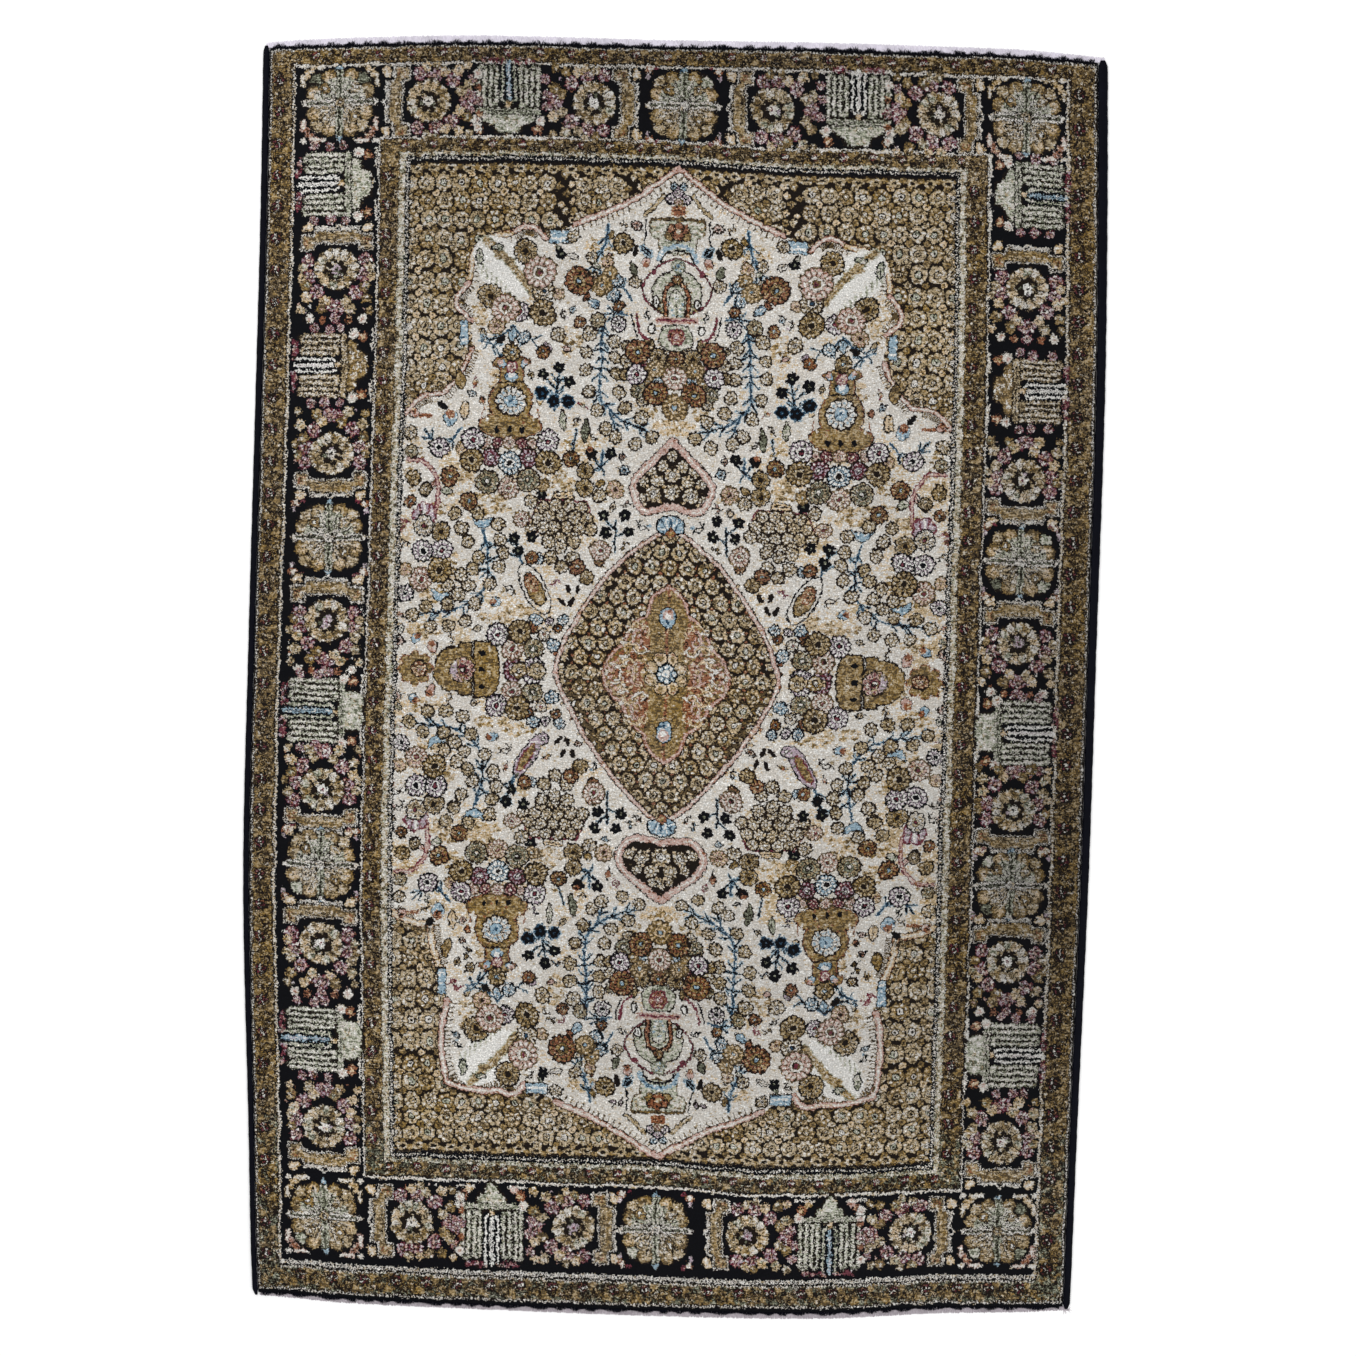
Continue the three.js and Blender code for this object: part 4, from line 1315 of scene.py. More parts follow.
# how strong the grain must be before a dye is soiled or rubbed, in the order of the dyes
SOILED = [9.0, 9.0, 0.5, 0.3, 0.6, 1.2, 0.6, 0.6, 0.8, 0.6, 0.9, 0.7, 0.9, 1.0, 0.7, 0.9]
RUBBED = [9.0, 1.5, 0.9, 0.6, 0.7, 0.5, 0.35, 0.8, 0.8, 0.9, 1.1, 0.8, 0.8, 1.2, 0.8, 9.0]

# heights in the lower half of the field as drawn, and where the rug shows them
LOWER_HALF = ([-727, -623, -404, -205, 0], [-693, -600, -389, -203, 0])
FIELD_HALF, FIELD_BOTTOM, FIELD_TOP = 390, -687, 733


def paint_field():
    """The field, its right half drawn above and below the middle and mirrored to the left."""
    field = np.full((ROWS, COLUMNS), SAND, np.uint8)
    middle = COLUMNS // 2
    level = int((MIDDLE_HEIGHT + CHART_LENGTH / 2) / KNOT_Y)
    for along, rows in ((-1, slice(0, level)), (1, slice(level, ROWS))):
        sheet = np.zeros_like(field)
        quarter(Pen(sheet, (0, MIDDLE_HEIGHT * (1 - along)), ((1, 0), (0, along))), along < 0)
        field[rows, middle:] = sheet[rows, middle:]
        field[rows, :middle] = sheet[rows, :middle - 1:-1]
    return field


def eased(t):
    """A step from 0 to 1 that starts and ends gently."""
    return t * t * (3 - 2 * t)


def drifted(x, y):
    """Where on the drawn chart each knot of the rug looks for its dye, as hand knots drift."""
    sag = 9 * eased(np.clip((x + 20) / 180, 0, 1)) * np.clip((900 - np.abs(y)) / 150, 0, 1)
    shape = (ROWS, COLUMNS)
    dx = noise(shape, (60, 1.3, 1), (14, 1.1, 2), (4, 1.5, 5))
    dy = noise(shape, (60, 1.3, 3), (14, 1.1, 4), (4, 1.5, 6))
    rough = np.where((np.abs(x) > 384) | (np.abs(y - 20) > 708), 2.0, 0.9)
    dx = dx + rough * wave(shape, 2.4, 1.0, 7)
    dy = dy + rough * wave(shape, 2.4, 1.0, 8)
    return x + dx, y + dy + sag


def look(chart, x, y):
    """The dyes of a chart at places in millimetres."""
    column = np.clip(((x + CHART_WIDTH / 2) / KNOT_X).astype(int), 0, COLUMNS - 1)
    row = np.clip(((y + CHART_LENGTH / 2) / KNOT_Y).astype(int), 0, ROWS - 1)
    return chart[row, column]


def paint_rug():
    """Paints border and field, then bends both the way the hand-knotted rug has drifted."""
    border = np.zeros((ROWS, COLUMNS), np.uint8)
    paint_border(border)
    field = paint_field()
    x = (np.arange(COLUMNS) + 0.5) * KNOT_X - CHART_WIDTH / 2
    y = ((np.arange(ROWS) + 0.5) * KNOT_Y - CHART_LENGTH / 2)[:, None]
    px, py = drifted(x, y)
    from_middle = py - MIDDLE_HEIGHT
    fx = px + 6 * (1 - np.clip(np.abs(px) / FIELD_HALF, 0, 1) ** 2)
    fy = MIDDLE_HEIGHT + np.where(py < MIDDLE_HEIGHT, np.interp(from_middle, *LOWER_HALF[::-1]), from_middle)
    inside = (np.abs(px) < FIELD_HALF) & (py > FIELD_BOTTOM) & (py < FIELD_TOP)
    art = np.where(inside, look(field, fx, fy), look(border, px, py))
    golden = (np.abs(py) < 340) & (np.abs(px) > 110)
    gold = np.where(inside, np.where(golden, 0.6, 0.95), 9.0)
    return weathered(art, inside, gold)


# ---------------------------------------------------------------- the rug's outline, as in the CAD part
MM = 0.001
PILE_TOP = 4.7
CORD_HEIGHT = 4.8
BAND_HEIGHT = 1.8
JOIN_GAP = 0.3
BAND_SIDE_INSET = 4.0

SIDE_HEIGHTS = [-905, -870, -640, -290, 50, 400, 655, 905]
LEFT_EDGE = [-600, -607, -612.5, -620, -612.5, -602.5, -595.5, -591]
RIGHT_EDGE = [565, 567, 576.5, 592.5, 604, 616, 619.5, 620]
LEFT_CORD = [7.4, 7.6, 8.0, 8.4, 8.8, 9.2, 9.4, 9.6]
RIGHT_CORD = [10.0, 10.2, 10.6, 11.4, 12.2, 13.0, 13.8, 14.2]
END_PLACES = [-605, -560, -470, -280, -20, 210, 370, 495, 620]
TOP_EDGE = [908, 913, 917.5, 921, 914.5, 910.5, 905.5, 900.5, 888.5]
BOTTOM_EDGE = [-886, -890, -898.5, -907.5, -917.5, -921, -913.5, -911.5, -905.5]
TOP_BAND = [7, 10, 11.5, 11.8, 11.2, 11.4, 11.6, 11, 9]
BOTTOM_BAND = [4, 7, 7.8, 8.4, 9.2, 9.6, 10, 8, 4]


def curve(places, values, at):
    """A smooth curve through a table: cubic pieces whose slope at a row is its neighbours' chord."""
    places, values = np.array(places, float), np.array(values, float)
    last = len(places) - 1
    before, after = np.maximum(np.arange(last + 1) - 1, 0), np.minimum(np.arange(last + 1) + 1, last)
    slopes = (values[after] - values[before]) / (places[after] - places[before])
    at = np.asarray(at, float)
    i = np.clip(np.searchsorted(places, at) - 1, 0, last - 1)
    span = places[i + 1] - places[i]
    t = np.clip((at - places[i]) / span, 0, 1)
    return ((2 * t ** 3 - 3 * t ** 2 + 1) * values[i] + (t ** 3 - 2 * t ** 2 + t) * span * slopes[i]
            + (3 * t ** 2 - 2 * t ** 3) * values[i + 1] + (t ** 3 - t ** 2) * span * slopes[i + 1])


def reader(places, values):
    """A function that reads one of the outline's tables at any place."""
    return lambda at: curve(places, values, at)


left_edge, right_edge = reader(SIDE_HEIGHTS, LEFT_EDGE), reader(SIDE_HEIGHTS, RIGHT_EDGE)
left_cord, right_cord = reader(SIDE_HEIGHTS, LEFT_CORD), reader(SIDE_HEIGHTS, RIGHT_CORD)
top_edge, bottom_edge = reader(END_PLACES, TOP_EDGE), reader(END_PLACES, BOTTOM_EDGE)
top_band, bottom_band = reader(END_PLACES, TOP_BAND), reader(END_PLACES, BOTTOM_BAND)


def place(u, v):
    """Where a point of the chart, 0 to 1 across and along, lies on the bowed rug."""
    x = -600 + 1210 * u
    for _ in range(4):
        low, high = bottom_edge(x) + bottom_band(x) + JOIN_GAP, top_edge(x) - top_band(x) - JOIN_GAP
        y = low * (1 - v) + high * v
        left, right = left_edge(y) + left_cord(y) + JOIN_GAP, right_edge(y) - right_cord(y) - JOIN_GAP
        x = left * (1 - u) + right * u
    return x, y


# ---------------------------------------------------------------- from points to pieces
def new_piece(name, points, face_sets, material, smooth_faces=True):
    """A mesh object from points in millimetres and arrays of faces with equal corners in each array."""
    sets = [np.asarray(faces, np.int32) for faces in face_sets]
    corners = np.concatenate([faces.ravel() for faces in sets])
    sizes = np.concatenate([np.full(len(faces), faces.shape[1]) for faces in sets])
    mesh = bpy.data.meshes.new(name)
    mesh.vertices.add(len(points))
    mesh.vertices.foreach_set("co", (np.asarray(points, float) * MM).astype(np.float32).ravel())
    mesh.loops.add(len(corners))
    mesh.loops.foreach_set("vertex_index", corners)
    mesh.polygons.add(len(sizes))
    mesh.polygons.foreach_set("loop_start", (np.cumsum(sizes) - sizes).astype(np.int32))
    mesh.polygons.foreach_set("use_smooth", np.full(len(sizes), smooth_faces))
    mesh.materials.append(material)
    mesh.update(calc_edges=True)
    piece = bpy.data.objects.new(name, mesh)
    bpy.context.scene.collection.objects.link(piece)
    return piece


def round_ring(count):
    """Angles at equal steps round a tube."""
    return np.arange(count) * 2 * math.pi / count


def upright_ring(x, y, z):
    """One ring of a tube that runs along y."""
    return np.stack([x, np.full(len(x), float(y)), z], -1)


def tube(rings):
    """Points, side faces and end faces of a closed tube through rings of equal length."""
    rings = np.asarray(rings, float)
    count, sides = rings.shape[:2]
    points = np.vstack([rings.reshape(-1, 3), rings[0].mean(0), rings[-1].mean(0)])
    i, k = np.meshgrid(np.arange(count - 1), np.arange(sides), indexing="ij")
    here, above, after = i * sides, (i + 1) * sides, (k + 1) % sides
    faces = np.stack([here + k, here + after, above + after, above + k], -1).reshape(-1, 4)
    k = np.arange(sides)
    first, last, top = count * sides, count * sides + 1, (count - 1) * sides
    low = np.stack([np.full(sides, first), (k + 1) % sides, k], -1)
    high = np.stack([np.full(sides, last), top + k, top + (k + 1) % sides], -1)
    return points, faces, np.vstack([low, high])


def join_tubes(name, tubes, material):
    """One piece from many closed tubes: four-cornered sides and three-cornered ends."""
    points, quads, triangles, start = [], [], [], 0
    for rings in tubes:
        some, sides, ends = tube(rings)
        points.append(some)
        quads.append(sides + start)
        triangles.append(ends + start)
        start += len(some)
    return new_piece(name, np.vstack(points), [np.vstack(quads), np.vstack(triangles)], material)


# ---------------------------------------------------------------- materials
class Graph:
    """A material with one shader, and short names for building its nodes."""

    def __init__(self, name):
        self.material = bpy.data.materials.new(name)
        self.material.use_nodes = True
        self.nodes = self.material.node_tree.nodes
        self.links = self.material.node_tree.links
        self.shader = self.nodes["Principled BSDF"]

    def add(self, kind, inputs=None, **settings):
        node = self.nodes.new("ShaderNode" + kind)
        for key, value in settings.items():
            setattr(node, key, value)
        for key, value in (inputs or {}).items():
            self.feed(node.inputs[key], value)
        return node

    def feed(self, socket, value):
        if isinstance(value, bpy.types.NodeSocket):
            self.links.new(value, socket)
        else:
            socket.default_value = value

    def math(self, operation, *values):
        return self.add("Math", dict(enumerate(values)), operation=operation).outputs[0]

    def noise(self, vector, scale, detail=2.0):
        return self.add("TexNoise", {"Vector": vector, "Scale": scale, "Detail": detail}).outputs["Fac"]

    def spread(self, value, low, high):
        """The middle half of a noise, spread between two values."""
        ends = {"From Min": 0.25, "From Max": 0.75, "To Min": low, "To Max": high}
        return self.add("MapRange", {"Value": value, **ends}).outputs[0]

    def stretch(self, vector, scale):
        return self.add("Mapping", {"Vector": vector, "Scale": scale}).outputs[0]

    def stored(self, name, output):
        """An attribute stored on the mesh."""
        return self.add("Attribute", attribute_name=name, attribute_type="GEOMETRY").outputs[output]

    def tint(self, colour, value, saturation=1.0):
        """Gives the shader a colour with its brightness and saturation changed."""
        node = self.add("HueSaturation", {"Color": colour, "Value": value, "Saturation": saturation})
        self.feed(self.shader.inputs["Base Color"], node.outputs[0])

    def bump(self, height, strength, distance):
        node = self.add("Bump", {"Height": height, "Strength": strength, "Distance": distance})
        self.feed(self.shader.inputs["Normal"], node.outputs[0])

    def set(self, values):
        """Feeds several inputs of the shader by name."""
        for name, value in values.items():
            self.feed(self.shader.inputs[name], value)


def linear(colour):
    """A daylight colour of 0 to 255 as linear light, for a shader."""
    c = np.array(colour, float) / 255
    return tuple(np.where(c < 0.04045, c / 12.92, ((c + 0.055) / 1.055) ** 2.4))


DYE_LEVEL = 0.765
KNOT_GROUPS = 8
KNOTS_PER_NUMBER = 6


def knot_of_cell(g):
    """The knot's column and row in its quad, and its height along the quad."""
    split = g.add("SeparateXYZ", {0: g.add("UVMap", uv_map="knot_cell").outputs[0]})
    places = [g.math("MULTIPLY", split.outputs[k], 12.0) for k in range(2)]
    column, row = (g.math("FLOOR", g.math("MINIMUM", at, 11.99)) for at in places)
    return column, row, split.outputs[1]


def stored_dye(g, column, row):
    """The number of the knot's dye, read as one digit of base 16 from the face's stored numbers."""
    half = g.math("FLOOR", g.math("DIVIDE", column, 6.0))
    number = g.math("ADD", g.math("MULTIPLY", row, 2.0), half)
    group = g.math("FLOOR", g.math("DIVIDE", g.math("ADD", number, 0.5), 3.0))
    third = g.math("SUBTRACT", number, g.math("MULTIPLY", group, 3.0))
    picks = [g.math("COMPARE", third, float(k), 0.1) for k in range(3)]
    chosen = g.add("CombineXYZ", dict(enumerate(picks))).outputs[0]
    total = 0.0
    for k in range(KNOT_GROUPS):
        stored = g.stored(f"knots_{k}", "Vector")
        dot = g.add("VectorMath", {0: stored, 1: chosen}, operation="DOT_PRODUCT").outputs["Value"]
        here = g.math("COMPARE", group, float(k), 0.1)
        total = g.math("MULTIPLY_ADD", dot, here, total)
    digit = g.math("SUBTRACT", column, g.math("MULTIPLY", half, 6.0))
    power = g.math("ROUND", g.math("POWER", 16.0, digit))
    return g.math("MODULO", g.math("FLOOR", g.math("DIVIDE", total, power)), 16.0)


def dye_ramp(g, dye):
    """The colour of a dye's number."""
    ramp = g.add("ValToRGB", {"Fac": g.math("DIVIDE", g.math("ADD", dye, 0.5), 16.0)})
    ramp.color_ramp.interpolation = "CONSTANT"
    stops = ramp.color_ramp.elements
    while len(stops) < len(DYES):
        stops.new(0.5)
    for k in range(len(DYES)):
        stops[k].position = k / 16
    for stop, colour in zip(stops, DYES):
        stop.color = (*(np.array(linear(colour)) * DYE_LEVEL), 1)
    return ramp.outputs[0]


def silk_light(g, where, knot):
    """How bright each knot is: the painted patches of light and shade, the knot's own tone, painted sheen
    streaks, broad bands of tone, fine painted sparkle and shade, and painted glints.
    """
    grain = g.add("TexWhiteNoise", {"Vector": knot}, noise_dimensions="3D").outputs["Value"]
    # the stored shade is painted light and shade; the white noise is each knot's own tone
    light = g.math("MULTIPLY", g.stored("shade", "Fac"), g.math("ADD", 0.86, g.math("MULTIPLY", grain, 0.28)))
    # painted sheen streaks along the rows, broad bands of tone, and fine painted sparkle and shade between
    # the tufts
    for scale, detail, low, high in (((120, 700, 1), 3.0, 0.84, 1.16), ((5, 26, 1), 3.0, 0.93, 1.07),
                                     ((380, 460, 1), 1.0, 0.68, 1.32)):
        streak = g.noise(g.stretch(where, scale), 1.0, detail)
        light = g.math("MULTIPLY", light, g.spread(streak, low, high))
    # painted glints: single bright specks of silk shine
    spark = g.noise(g.stretch(where, (460, 560, 1)), 1.0, 1.0)
    glint = g.math("MULTIPLY", g.math("MAXIMUM", g.math("SUBTRACT", spark, 0.58), 0.0), 5.0)
    return g.math("MULTIPLY", light, g.math("ADD", glint, 0.95))


def silk_surface(g, where, along):
    """The relief of the rows of knots and their tufts, and a roughness that follows the pile's lay."""
    ridge = g.math("MULTIPLY", g.math("PINGPONG", g.math("MULTIPLY", along, 12.0), 0.5), 0.8)
    tuft = g.noise(g.stretch(where, (900, 1500, 1)), 1.0, 2.0)
    lay = g.noise(g.stretch(where, (60, 130, 1)), 1.0, 3.0)
    height = g.math("ADD", g.math("ADD", ridge, tuft), g.math("MULTIPLY", lay, 2.0))
    g.bump(height, 0.35, 0.0006)
    g.set({"Roughness": g.spread(lay, 0.44, 0.62), "Specular IOR Level": 0.05, "Sheen Weight": 0.01,
              "Sheen Roughness": 0.45})


def pile_material():
    """Silk pile that reads one dye for each knot from the numbers stored on its face."""
    g = Graph("silk_pile_knots")
    column, row, along = knot_of_cell(g)
    colour = dye_ramp(g, stored_dye(g, column, row))
    where = g.add("TexCoord").outputs["Object"]
    knot = g.add("CombineXYZ", {0: column, 1: row, 2: g.stored("quad_number", "Fac")}).outputs[0]
    g.tint(colour, silk_light(g, where, knot), g.spread(g.noise(where, 9.0), 0.85, 1.1))
    silk_surface(g, where, along)
    return g.material


def yarn_material(name, colour, dark, scale, sheen, gloss=0.15):
    """Plied yarn: fine strands across the wrap, with lighter and darker fibres."""
    g = Graph(name)
    where = g.add("TexCoord").outputs["Object"]
    strand = g.noise(g.stretch(where, scale), 1.0, 3.0)
    patch = g.noise(where, 35.0, 3.0)
    mix = g.add("Mix", {0: g.spread(strand, 0.0, 1.0)}, data_type="RGBA")
    mix.inputs[6].default_value = (*linear(dark), 1)
    mix.inputs[7].default_value = (*linear(colour), 1)
    g.tint(mix.outputs[2], g.spread(patch, 0.8, 1.2))
    g.bump(strand, 0.5, 0.0003)
    g.set({"Roughness": 0.62, "Specular IOR Level": gloss, "Sheen Weight": sheen})
    return g.material


# ---------------------------------------------------------------- the knotted pile
SHADES = [  # x, y, radius across, radius along, change of brightness: painted patches of light and shade on the pile
    (560, -330, 160, 330, -0.26), (380, -350, 160, 200, -0.10), (-560, 0, 120, 500, -0.08),
    (560, 100, 90, 300, -0.08), (0, 600, 420, 240, 0.02), (0, 0, 420, 400, 0.04), (-540, 700, 160, 260, 0.08),
    (0, -650, 500, 220, 0.02), (600, 0, 170, 900, -0.18), (0, 900, 620, 150, -0.30),
    (-330, -560, 160, 170, 0.10), (0, -710, 420, 70, 0.10), (0, -420, 300, 160, -0.08),
    (-480, -200, 90, 500, 0.02), (-330, 640, 160, 130, -0.10), (290, -20, 160, 300, -0.09),
    (0, -540, 300, 170, -0.09), (330, -640, 140, 120, -0.07), (490, 0, 60, 900, -0.08),
    (-490, 0, 60, 900, 0.05)]


def shade_at(x, y):
    """How bright the pile is at a place under the painted patches of light and shade, 1 away from them."""
    shade = np.ones_like(x)
    for sx, sy, rx, ry, change in SHADES:
        shade += change * np.exp(-((x - sx) / rx) ** 2 - ((y - sy) / ry) ** 2)
    return shade


def pile_points(x, y, loop):
    """The pile's upper grid, its lower grid, and three rings that round its edge between them."""
    lift = wave(x.shape, 22, 0.32, 11) + wave(x.shape, 5, 0.12, 12)

    def level(inset, z):
        """The grid with its outermost points drawn in by an inset."""
        px, py = x.copy(), y.copy()
        px[:, 0] += inset
        px[:, -1] -= inset
        py[0] += inset
        py[-1] -= inset
        return np.stack([px, py, np.zeros_like(px) + z], -1).reshape(-1, 3)
    rim = np.zeros(x.shape, bool)
    rim[:, [0, -1]] = rim[[0, -1]] = True
    top = level(1.3, np.where(rim, 4.1, PILE_TOP + lift))
    bottom = level(0.5, 0.0)
    rings = [level(inset, z)[loop] for inset, z in ((0.6, 3.7), (0.05, 2.7), (0.1, 1.2))]
    return np.vstack([top, bottom, *rings])


def pile_faces(index, loop):
    """The faces of the upper grid, the lower grid and the strips between the rings of the edge."""
    a, b, c, d = index[:-1, :-1], index[:-1, 1:], index[1:, 1:], index[1:, :-1]
    upper = np.stack([a, b, c, d], -1).reshape(-1, 4)
    lower = np.stack([a, d, c, b], -1).reshape(-1, 4) + index.size
    start = 2 * index.size
    steps = [loop, *(start + k * len(loop) + np.arange(len(loop)) for k in range(3)), loop + index.size]
    strips = [np.stack([np.roll(p, -1), p, q, np.roll(q, -1)], -1) for p, q in zip(steps, steps[1:])]
    return np.vstack([upper, lower, *strips])


def store(mesh, name, kind, domain, values):
    """An attribute of a mesh, one value or vector for each face or point."""
    layer = mesh.attributes.new(name, kind, domain)
    layer.data.foreach_set("vector" if kind == "FLOAT_VECTOR" else "value", values.astype(np.float32).ravel())


def store_knots(mesh, chart, side_faces):
    """Each quad's 144 dyes, six to a number, on the upper and the lower face; the edge is navy."""
    quads = QUADS_ACROSS * QUADS_ALONG
    powers = 16.0 ** np.arange(KNOTS_PER_NUMBER)
    knots = chart.reshape(QUADS_ALONG, KNOTS_PER_QUAD, QUADS_ACROSS, 2, KNOTS_PER_NUMBER).astype(float)
    packed = (knots * powers).sum(-1).transpose(0, 2, 1, 3).reshape(quads, KNOT_GROUPS, 3)
    plain = np.full((side_faces, KNOT_GROUPS, 3), float(NAVY * powers.sum()))
    packed = np.concatenate([packed, packed, plain])
    for k in range(KNOT_GROUPS):
        store(mesh, f"knots_{k}", "FLOAT_VECTOR", "FACE", packed[:, k])
    store(mesh, "quad_number", "FLOAT", "FACE", np.arange(len(packed)))
    corners = np.array([(0, 0), (1, 0), (1, 1), (0, 1)], float)
    cells = [np.tile(ring, (count, 1, 1)) for ring, count in (
        (corners, quads), (corners[[0, 3, 2, 1]], quads), (corners, side_faces))]
    layer = mesh.uv_layers.new(name="knot_cell")
    layer.data.foreach_set("uv", np.concatenate(cells).astype(np.float32).ravel())


def make_pile(chart):
    """The knotted sheet, a closed shell whose faces carry the chart."""
    u, v = np.meshgrid(np.linspace(0, 1, QUADS_ACROSS + 1), np.linspace(0, 1, QUADS_ALONG + 1))
    x, y = place(u, v)
    index = np.arange(x.size).reshape(x.shape)
    loop = np.concatenate([index[0], index[1:, -1], index[-1, -2::-1], index[-2:0:-1, 0]])
    points, faces = pile_points(x, y, loop), pile_faces(index, loop)
    piece = new_piece("rug_pile", points, [faces], pile_material())
    store_knots(piece.data, chart, len(faces) - 2 * QUADS_ACROSS * QUADS_ALONG)
    # the painted patches of light and shade, stored on the pile's points
    store(piece.data, "shade", "FLOAT", "POINT", shade_at(points[:, 0], points[:, 1]))
    return piece


# ---------------------------------------------------------------- side cords, end bands and loose threads
CORD_REACH = 903.5
TAIL = 23.5
TAIL_STRETCH = 3.5
WRAP_PITCH = 2.4
WRAP_RINGS = 3
WRAP_SIDES = 12
WRAP_BULGE = 0.32


def make_cord(name, outer, width, inward, material):
    """The overcast cord along one long side: yarn wrapped round it, turn after turn."""
    length = 2 * CORD_REACH
    around_cord = round_ring(WRAP_SIDES)
    u = np.array(0.0 if inward > 0 else 1.0)
    rings = []
    for y in np.linspace(-CORD_REACH, CORD_REACH, int(length / WRAP_PITCH) * WRAP_RINGS + 1):
        walked = y + CORD_REACH
        _, py = place(u, np.array(walked / length))
        wide = float(width(py)) / 2
        py = float(py) + math.copysign(TAIL_STRETCH * max(0.0, abs(y) - (CORD_REACH - TAIL)) / TAIL, y)
        middle = float(outer(py)) + inward * wide
        turns = walked / WRAP_PITCH
        bulge = WRAP_BULGE * (np.abs(np.sin(math.pi * (turns + around_cord / (4 * math.pi)))) - 0.6)
        fray = 1 + 0.03 * math.sin(y * 0.11) + 0.02 * math.sin(y * 0.37)
        ends = min(1.0, 0.45 + 0.55 * min(walked, CORD_REACH - y) / 7)
        cx = middle + (wide - 0.15 + bulge) * np.cos(around_cord) * fray * ends
        cz = CORD_HEIGHT / 2 + (CORD_HEIGHT / 2 + bulge) * np.sin(around_cord) * ends
        rings.append(upright_ring(cx, py, np.maximum(cz, 0.0)))
    return join_tubes(name, [rings], material)


RIB_PITCH = 1.65

# how far along each ring of a rib lies, and how thick it is
RIB_RINGS = [(0, 1.0), (0.15, 1.0), (0.4, 1.08), (0.65, 0.95), (0.85, 1.0), (1.0, 0.45)]


def make_band(name, outer, depth, way, material, seed):
    """The flat-woven end: one rounded rib for each pair of warps, uneven at its tips."""
    local = np.random.default_rng(seed)
    ribs = []
    left = float(left_edge(905 * way)) + BAND_SIDE_INSET
    right = float(right_edge(905 * way)) - BAND_SIDE_INSET
    around_rib = round_ring(6)
    for x in np.arange(left + 0.9, right - 0.9, RIB_PITCH):
        tip = float(outer(x)) - way * local.uniform(0.0, 1.5)
        foot = float(outer(x)) - way * (float(depth(x)) + 0.1)
        lean = local.uniform(-0.5, 0.5)
        rib = []
        for t, width in RIB_RINGS:
            thick = width * local.uniform(0.92, 1.08)
            z = BAND_HEIGHT / 2 * (1 - 0.35 * t)
            cx = x + lean * t + 0.9 * thick * np.cos(around_rib)
            cz = z + 0.85 * thick * (1 - 0.3 * t) * np.sin(around_rib)
            rib.append(upright_ring(cx, foot + (tip - foot) * t, np.maximum(cz, 0)))
        ribs.append([ring[::-1] for ring in rib] if way > 0 else rib)
    return join_tubes(name, ribs, material)


# along its length, height above the floor and radius of each ring of a hair
HAIR_RINGS = [(0, 3.9, 0.5), (0.35, 4.3, 0.45), (0.7, 3.6, 0.36), (1.0, 2.3, 0.14)]

# end of the rug, number of hairs, their reach, and how evenly they cover the band
HAIR_ROWS = [(1, 3400, 8.0, 0.25), (-1, 3600, 6.8, 0.85)]


def make_hairs(material):
    """Navy pile at the two ends that leans out over the pale bands."""
    local = np.random.default_rng(31)
    hairs = []
    around_hair = round_ring(4)
    for way, count, reach, even in HAIR_ROWS:
        u = local.uniform(0.004, 0.996, count)
        u = u[local.uniform(0, 1, count) < even + (1 - even) * np.abs(np.sin(23 * u + 2 * np.sin(61 * u)))]
        for x, y in zip(*place(u, np.full(len(u), 1.0 if way > 0 else 0.0))):
            y = y - way * 0.9
            long = reach * local.uniform(0.2 + 0.5 * even, 1.0)
            long *= 0.7 + 0.3 * math.sin(0.21 * x + 2 * math.sin(0.043 * x))
            lean = local.normal(0, 0.45) * long
            hair = [upright_ring(x + lean * t * t + r * np.cos(around_hair), y + way * long * t,
                                 z + r * np.sin(around_hair)) for t, z, r in HAIR_RINGS]
            hairs.append(hair if way < 0 else [ring[::-1] for ring in hair])
    return join_tubes("pile_hairs", hairs, material)


def make_loose_ends(material):
    """A few warp ends that have come loose at the lower right corner."""
    local = np.random.default_rng(41)
    around_thread = round_ring(6)
    x0 = float(right_edge(-905)) - 6
    y0 = float(bottom_edge(x0)) + 1.5
    threads = []
    for k in range(9):
        turn = -1.25 + 0.19 * k + local.uniform(-0.1, 0.1)
        long = local.uniform(4, 8)
        bend = local.uniform(-0.5, 0.5)
        thread = []
        for t in (0, 0.25, 0.5, 0.75, 1.0):
            angle = turn + bend * t
            px = x0 - 3 + 0.8 * k + long * t * math.cos(angle)
            py = y0 + long * t * math.sin(angle)
            r = 0.4 * (1 - 0.5 * t)
            out, up = r * np.cos(around_thread), r * np.sin(around_thread)
            thread.append(np.stack([px + out * -math.sin(angle), py + out * math.cos(angle), 0.5 + up], -1))
        threads.append(thread)
    return join_tubes("loose_warp_ends", threads, material)


# ---------------------------------------------------------------- camera, floor and light
PHOTO_WIDTH = 1.943
LENS = 85.0
SENSOR = 36.0
camera_data = bpy.data.cameras.new("camera")
camera_data.lens = LENS
camera_data.sensor_width = SENSOR
camera = bpy.data.objects.new("camera", camera_data)
camera.location = (0.0036, -0.0014, PHOTO_WIDTH * LENS / SENSOR + PILE_TOP * MM)
bpy.context.scene.collection.objects.link(camera)
bpy.context.scene.camera = camera
FLOOR_HALF = 60000
FLOOR_DROP = -0.1


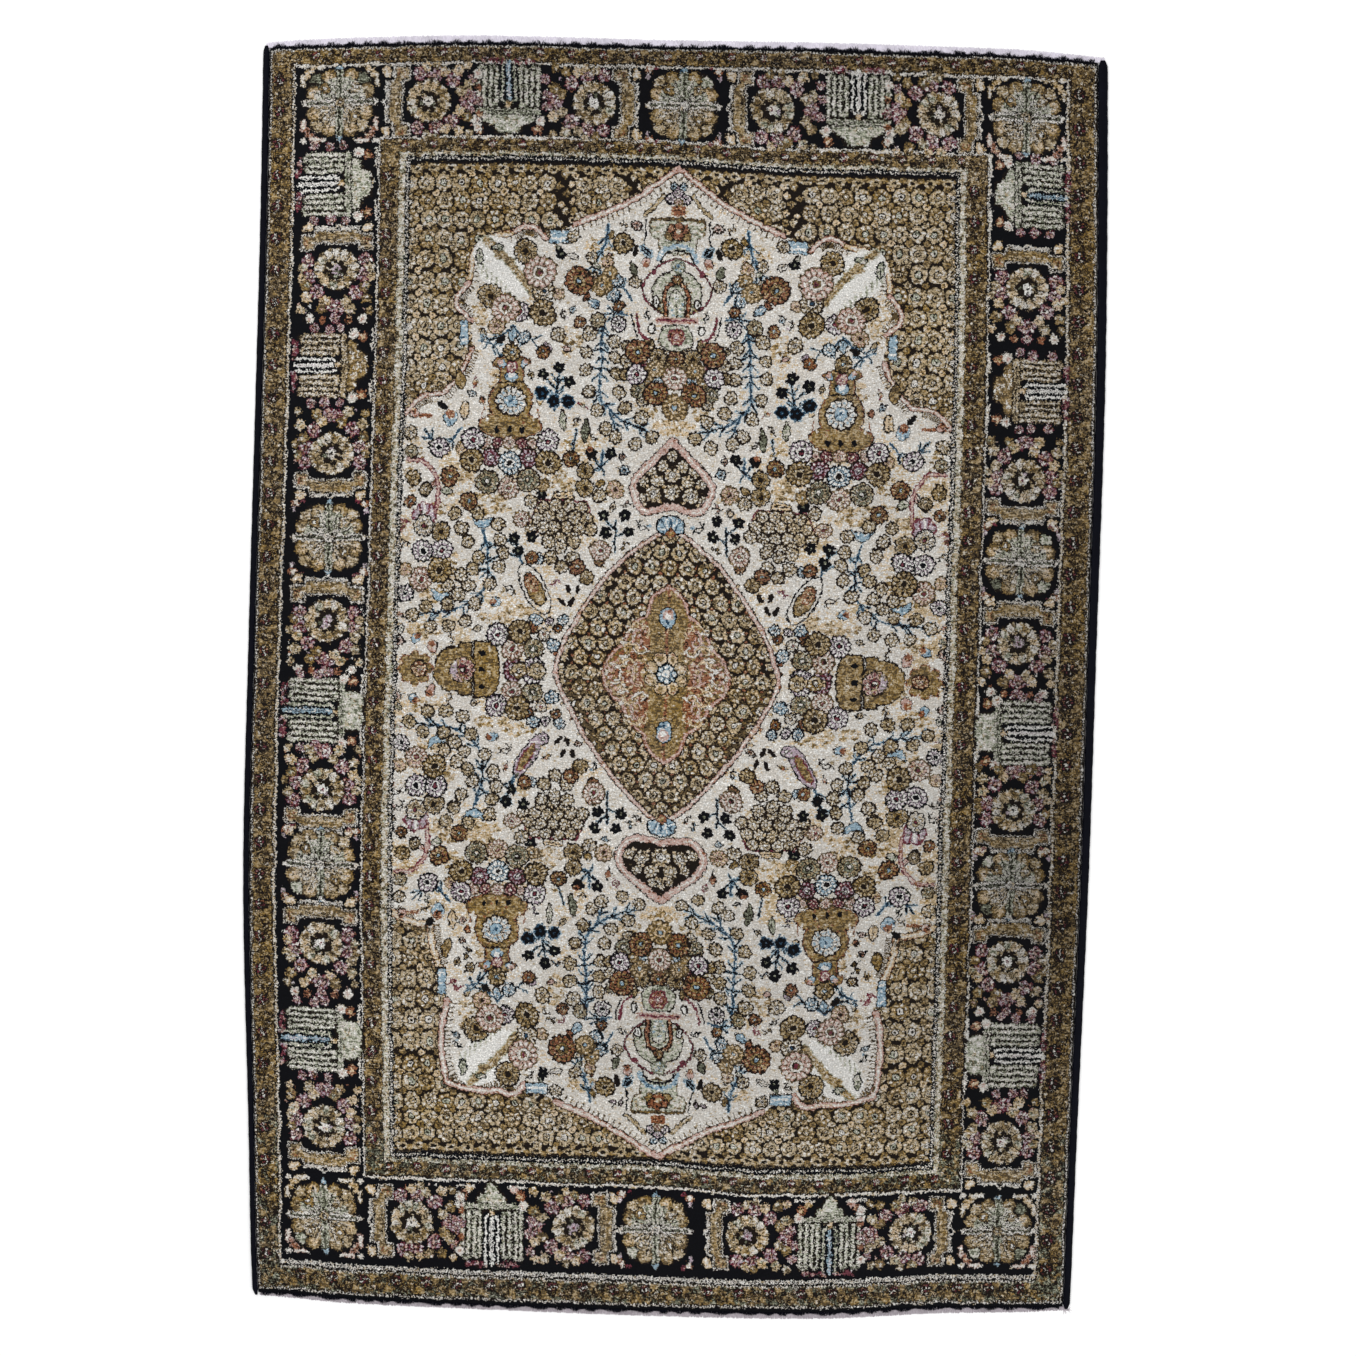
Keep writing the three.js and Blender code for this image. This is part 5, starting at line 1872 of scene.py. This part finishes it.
def make_floor():
    """The pale floor, a tenth of a millimetre below the rug."""
    g = Graph("pale_floor")
    where = g.add("TexCoord").outputs["Object"]
    g.tint((0.95, 0.95, 0.95, 1), g.spread(g.noise(where, 3.0), 0.99, 1.01))
    g.set({"Roughness": 0.9, "Specular IOR Level": 0.1})
    points = [(x * FLOOR_HALF, y * FLOOR_HALF, FLOOR_DROP) for x, y in ((-1, -1), (1, -1), (1, 1), (-1, 1))]
    return new_piece("floor", points, [[(0, 1, 2, 3)]], g.material, False)


def make_light(name, stand, size, power):
    """A round soft light that faces the rug's middle."""
    data = bpy.data.lights.new(name, "AREA")
    data.shape = "DISK"
    data.size = size
    data.energy = power
    light = bpy.data.objects.new(name, data)
    light.location = stand
    aim = -np.array(stand) / np.linalg.norm(stand)
    light.rotation_euler = (math.acos(-aim[2]), 0, math.atan2(aim[0], -aim[1]))
    bpy.context.scene.collection.objects.link(light)


floor = make_floor()
make_light("key_light", (-2.8, 2.6, 5.6), 3.2, 330)
make_light("fill_light", (3.0, -2.4, 5.6), 4.0, 230)
world = bpy.data.worlds.new("studio")
world.use_nodes = True
world.node_tree.nodes["Background"].inputs[0].default_value = (1, 1, 1, 1)
world.node_tree.nodes["Background"].inputs[1].default_value = 0.75
bpy.context.scene.world = world
bpy.context.scene.view_settings.view_transform = "Standard"


# ---------------------------------------------------------------- putting the rug together
navy_yarn = yarn_material("navy_overcast_yarn", (9, 11, 22), (3, 3, 8), (300, 1400, 300), 0.01, 0.05)
warp_yarn = yarn_material("pale_warp_yarn", (230, 226, 234), (192, 185, 200), (1800, 260, 500), 0.2)
soiled_yarn = yarn_material("soiled_warp_yarn", (192, 184, 190), (140, 131, 138), (1800, 260, 500), 0.1)
pile = make_pile(paint_rug())
cord_left = make_cord("cord_left", left_edge, left_cord, 1, navy_yarn)
cord_right = make_cord("cord_right", right_edge, right_cord, -1, navy_yarn)
band_top = make_band("band_top", top_edge, top_band, 1, warp_yarn, 21)
band_bottom = make_band("band_bottom", bottom_edge, bottom_band, -1, soiled_yarn, 22)
hairs = make_hairs(navy_yarn)
loose = make_loose_ends(soiled_yarn)

for piece, slot, node in (
        (pile, "silk_pile", "rug_body"), (cord_left, "selvedge_silk", "selvedge_left"),
        (cord_right, "selvedge_silk", "selvedge_right"), (band_top, "warp_silk", "end_band_top"),
        (band_bottom, "warp_silk", "end_band_bottom"), (hairs, "silk_pile", None),
        (loose, "warp_silk", None)):
    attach(piece, "root")
    if node:
        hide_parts(node)
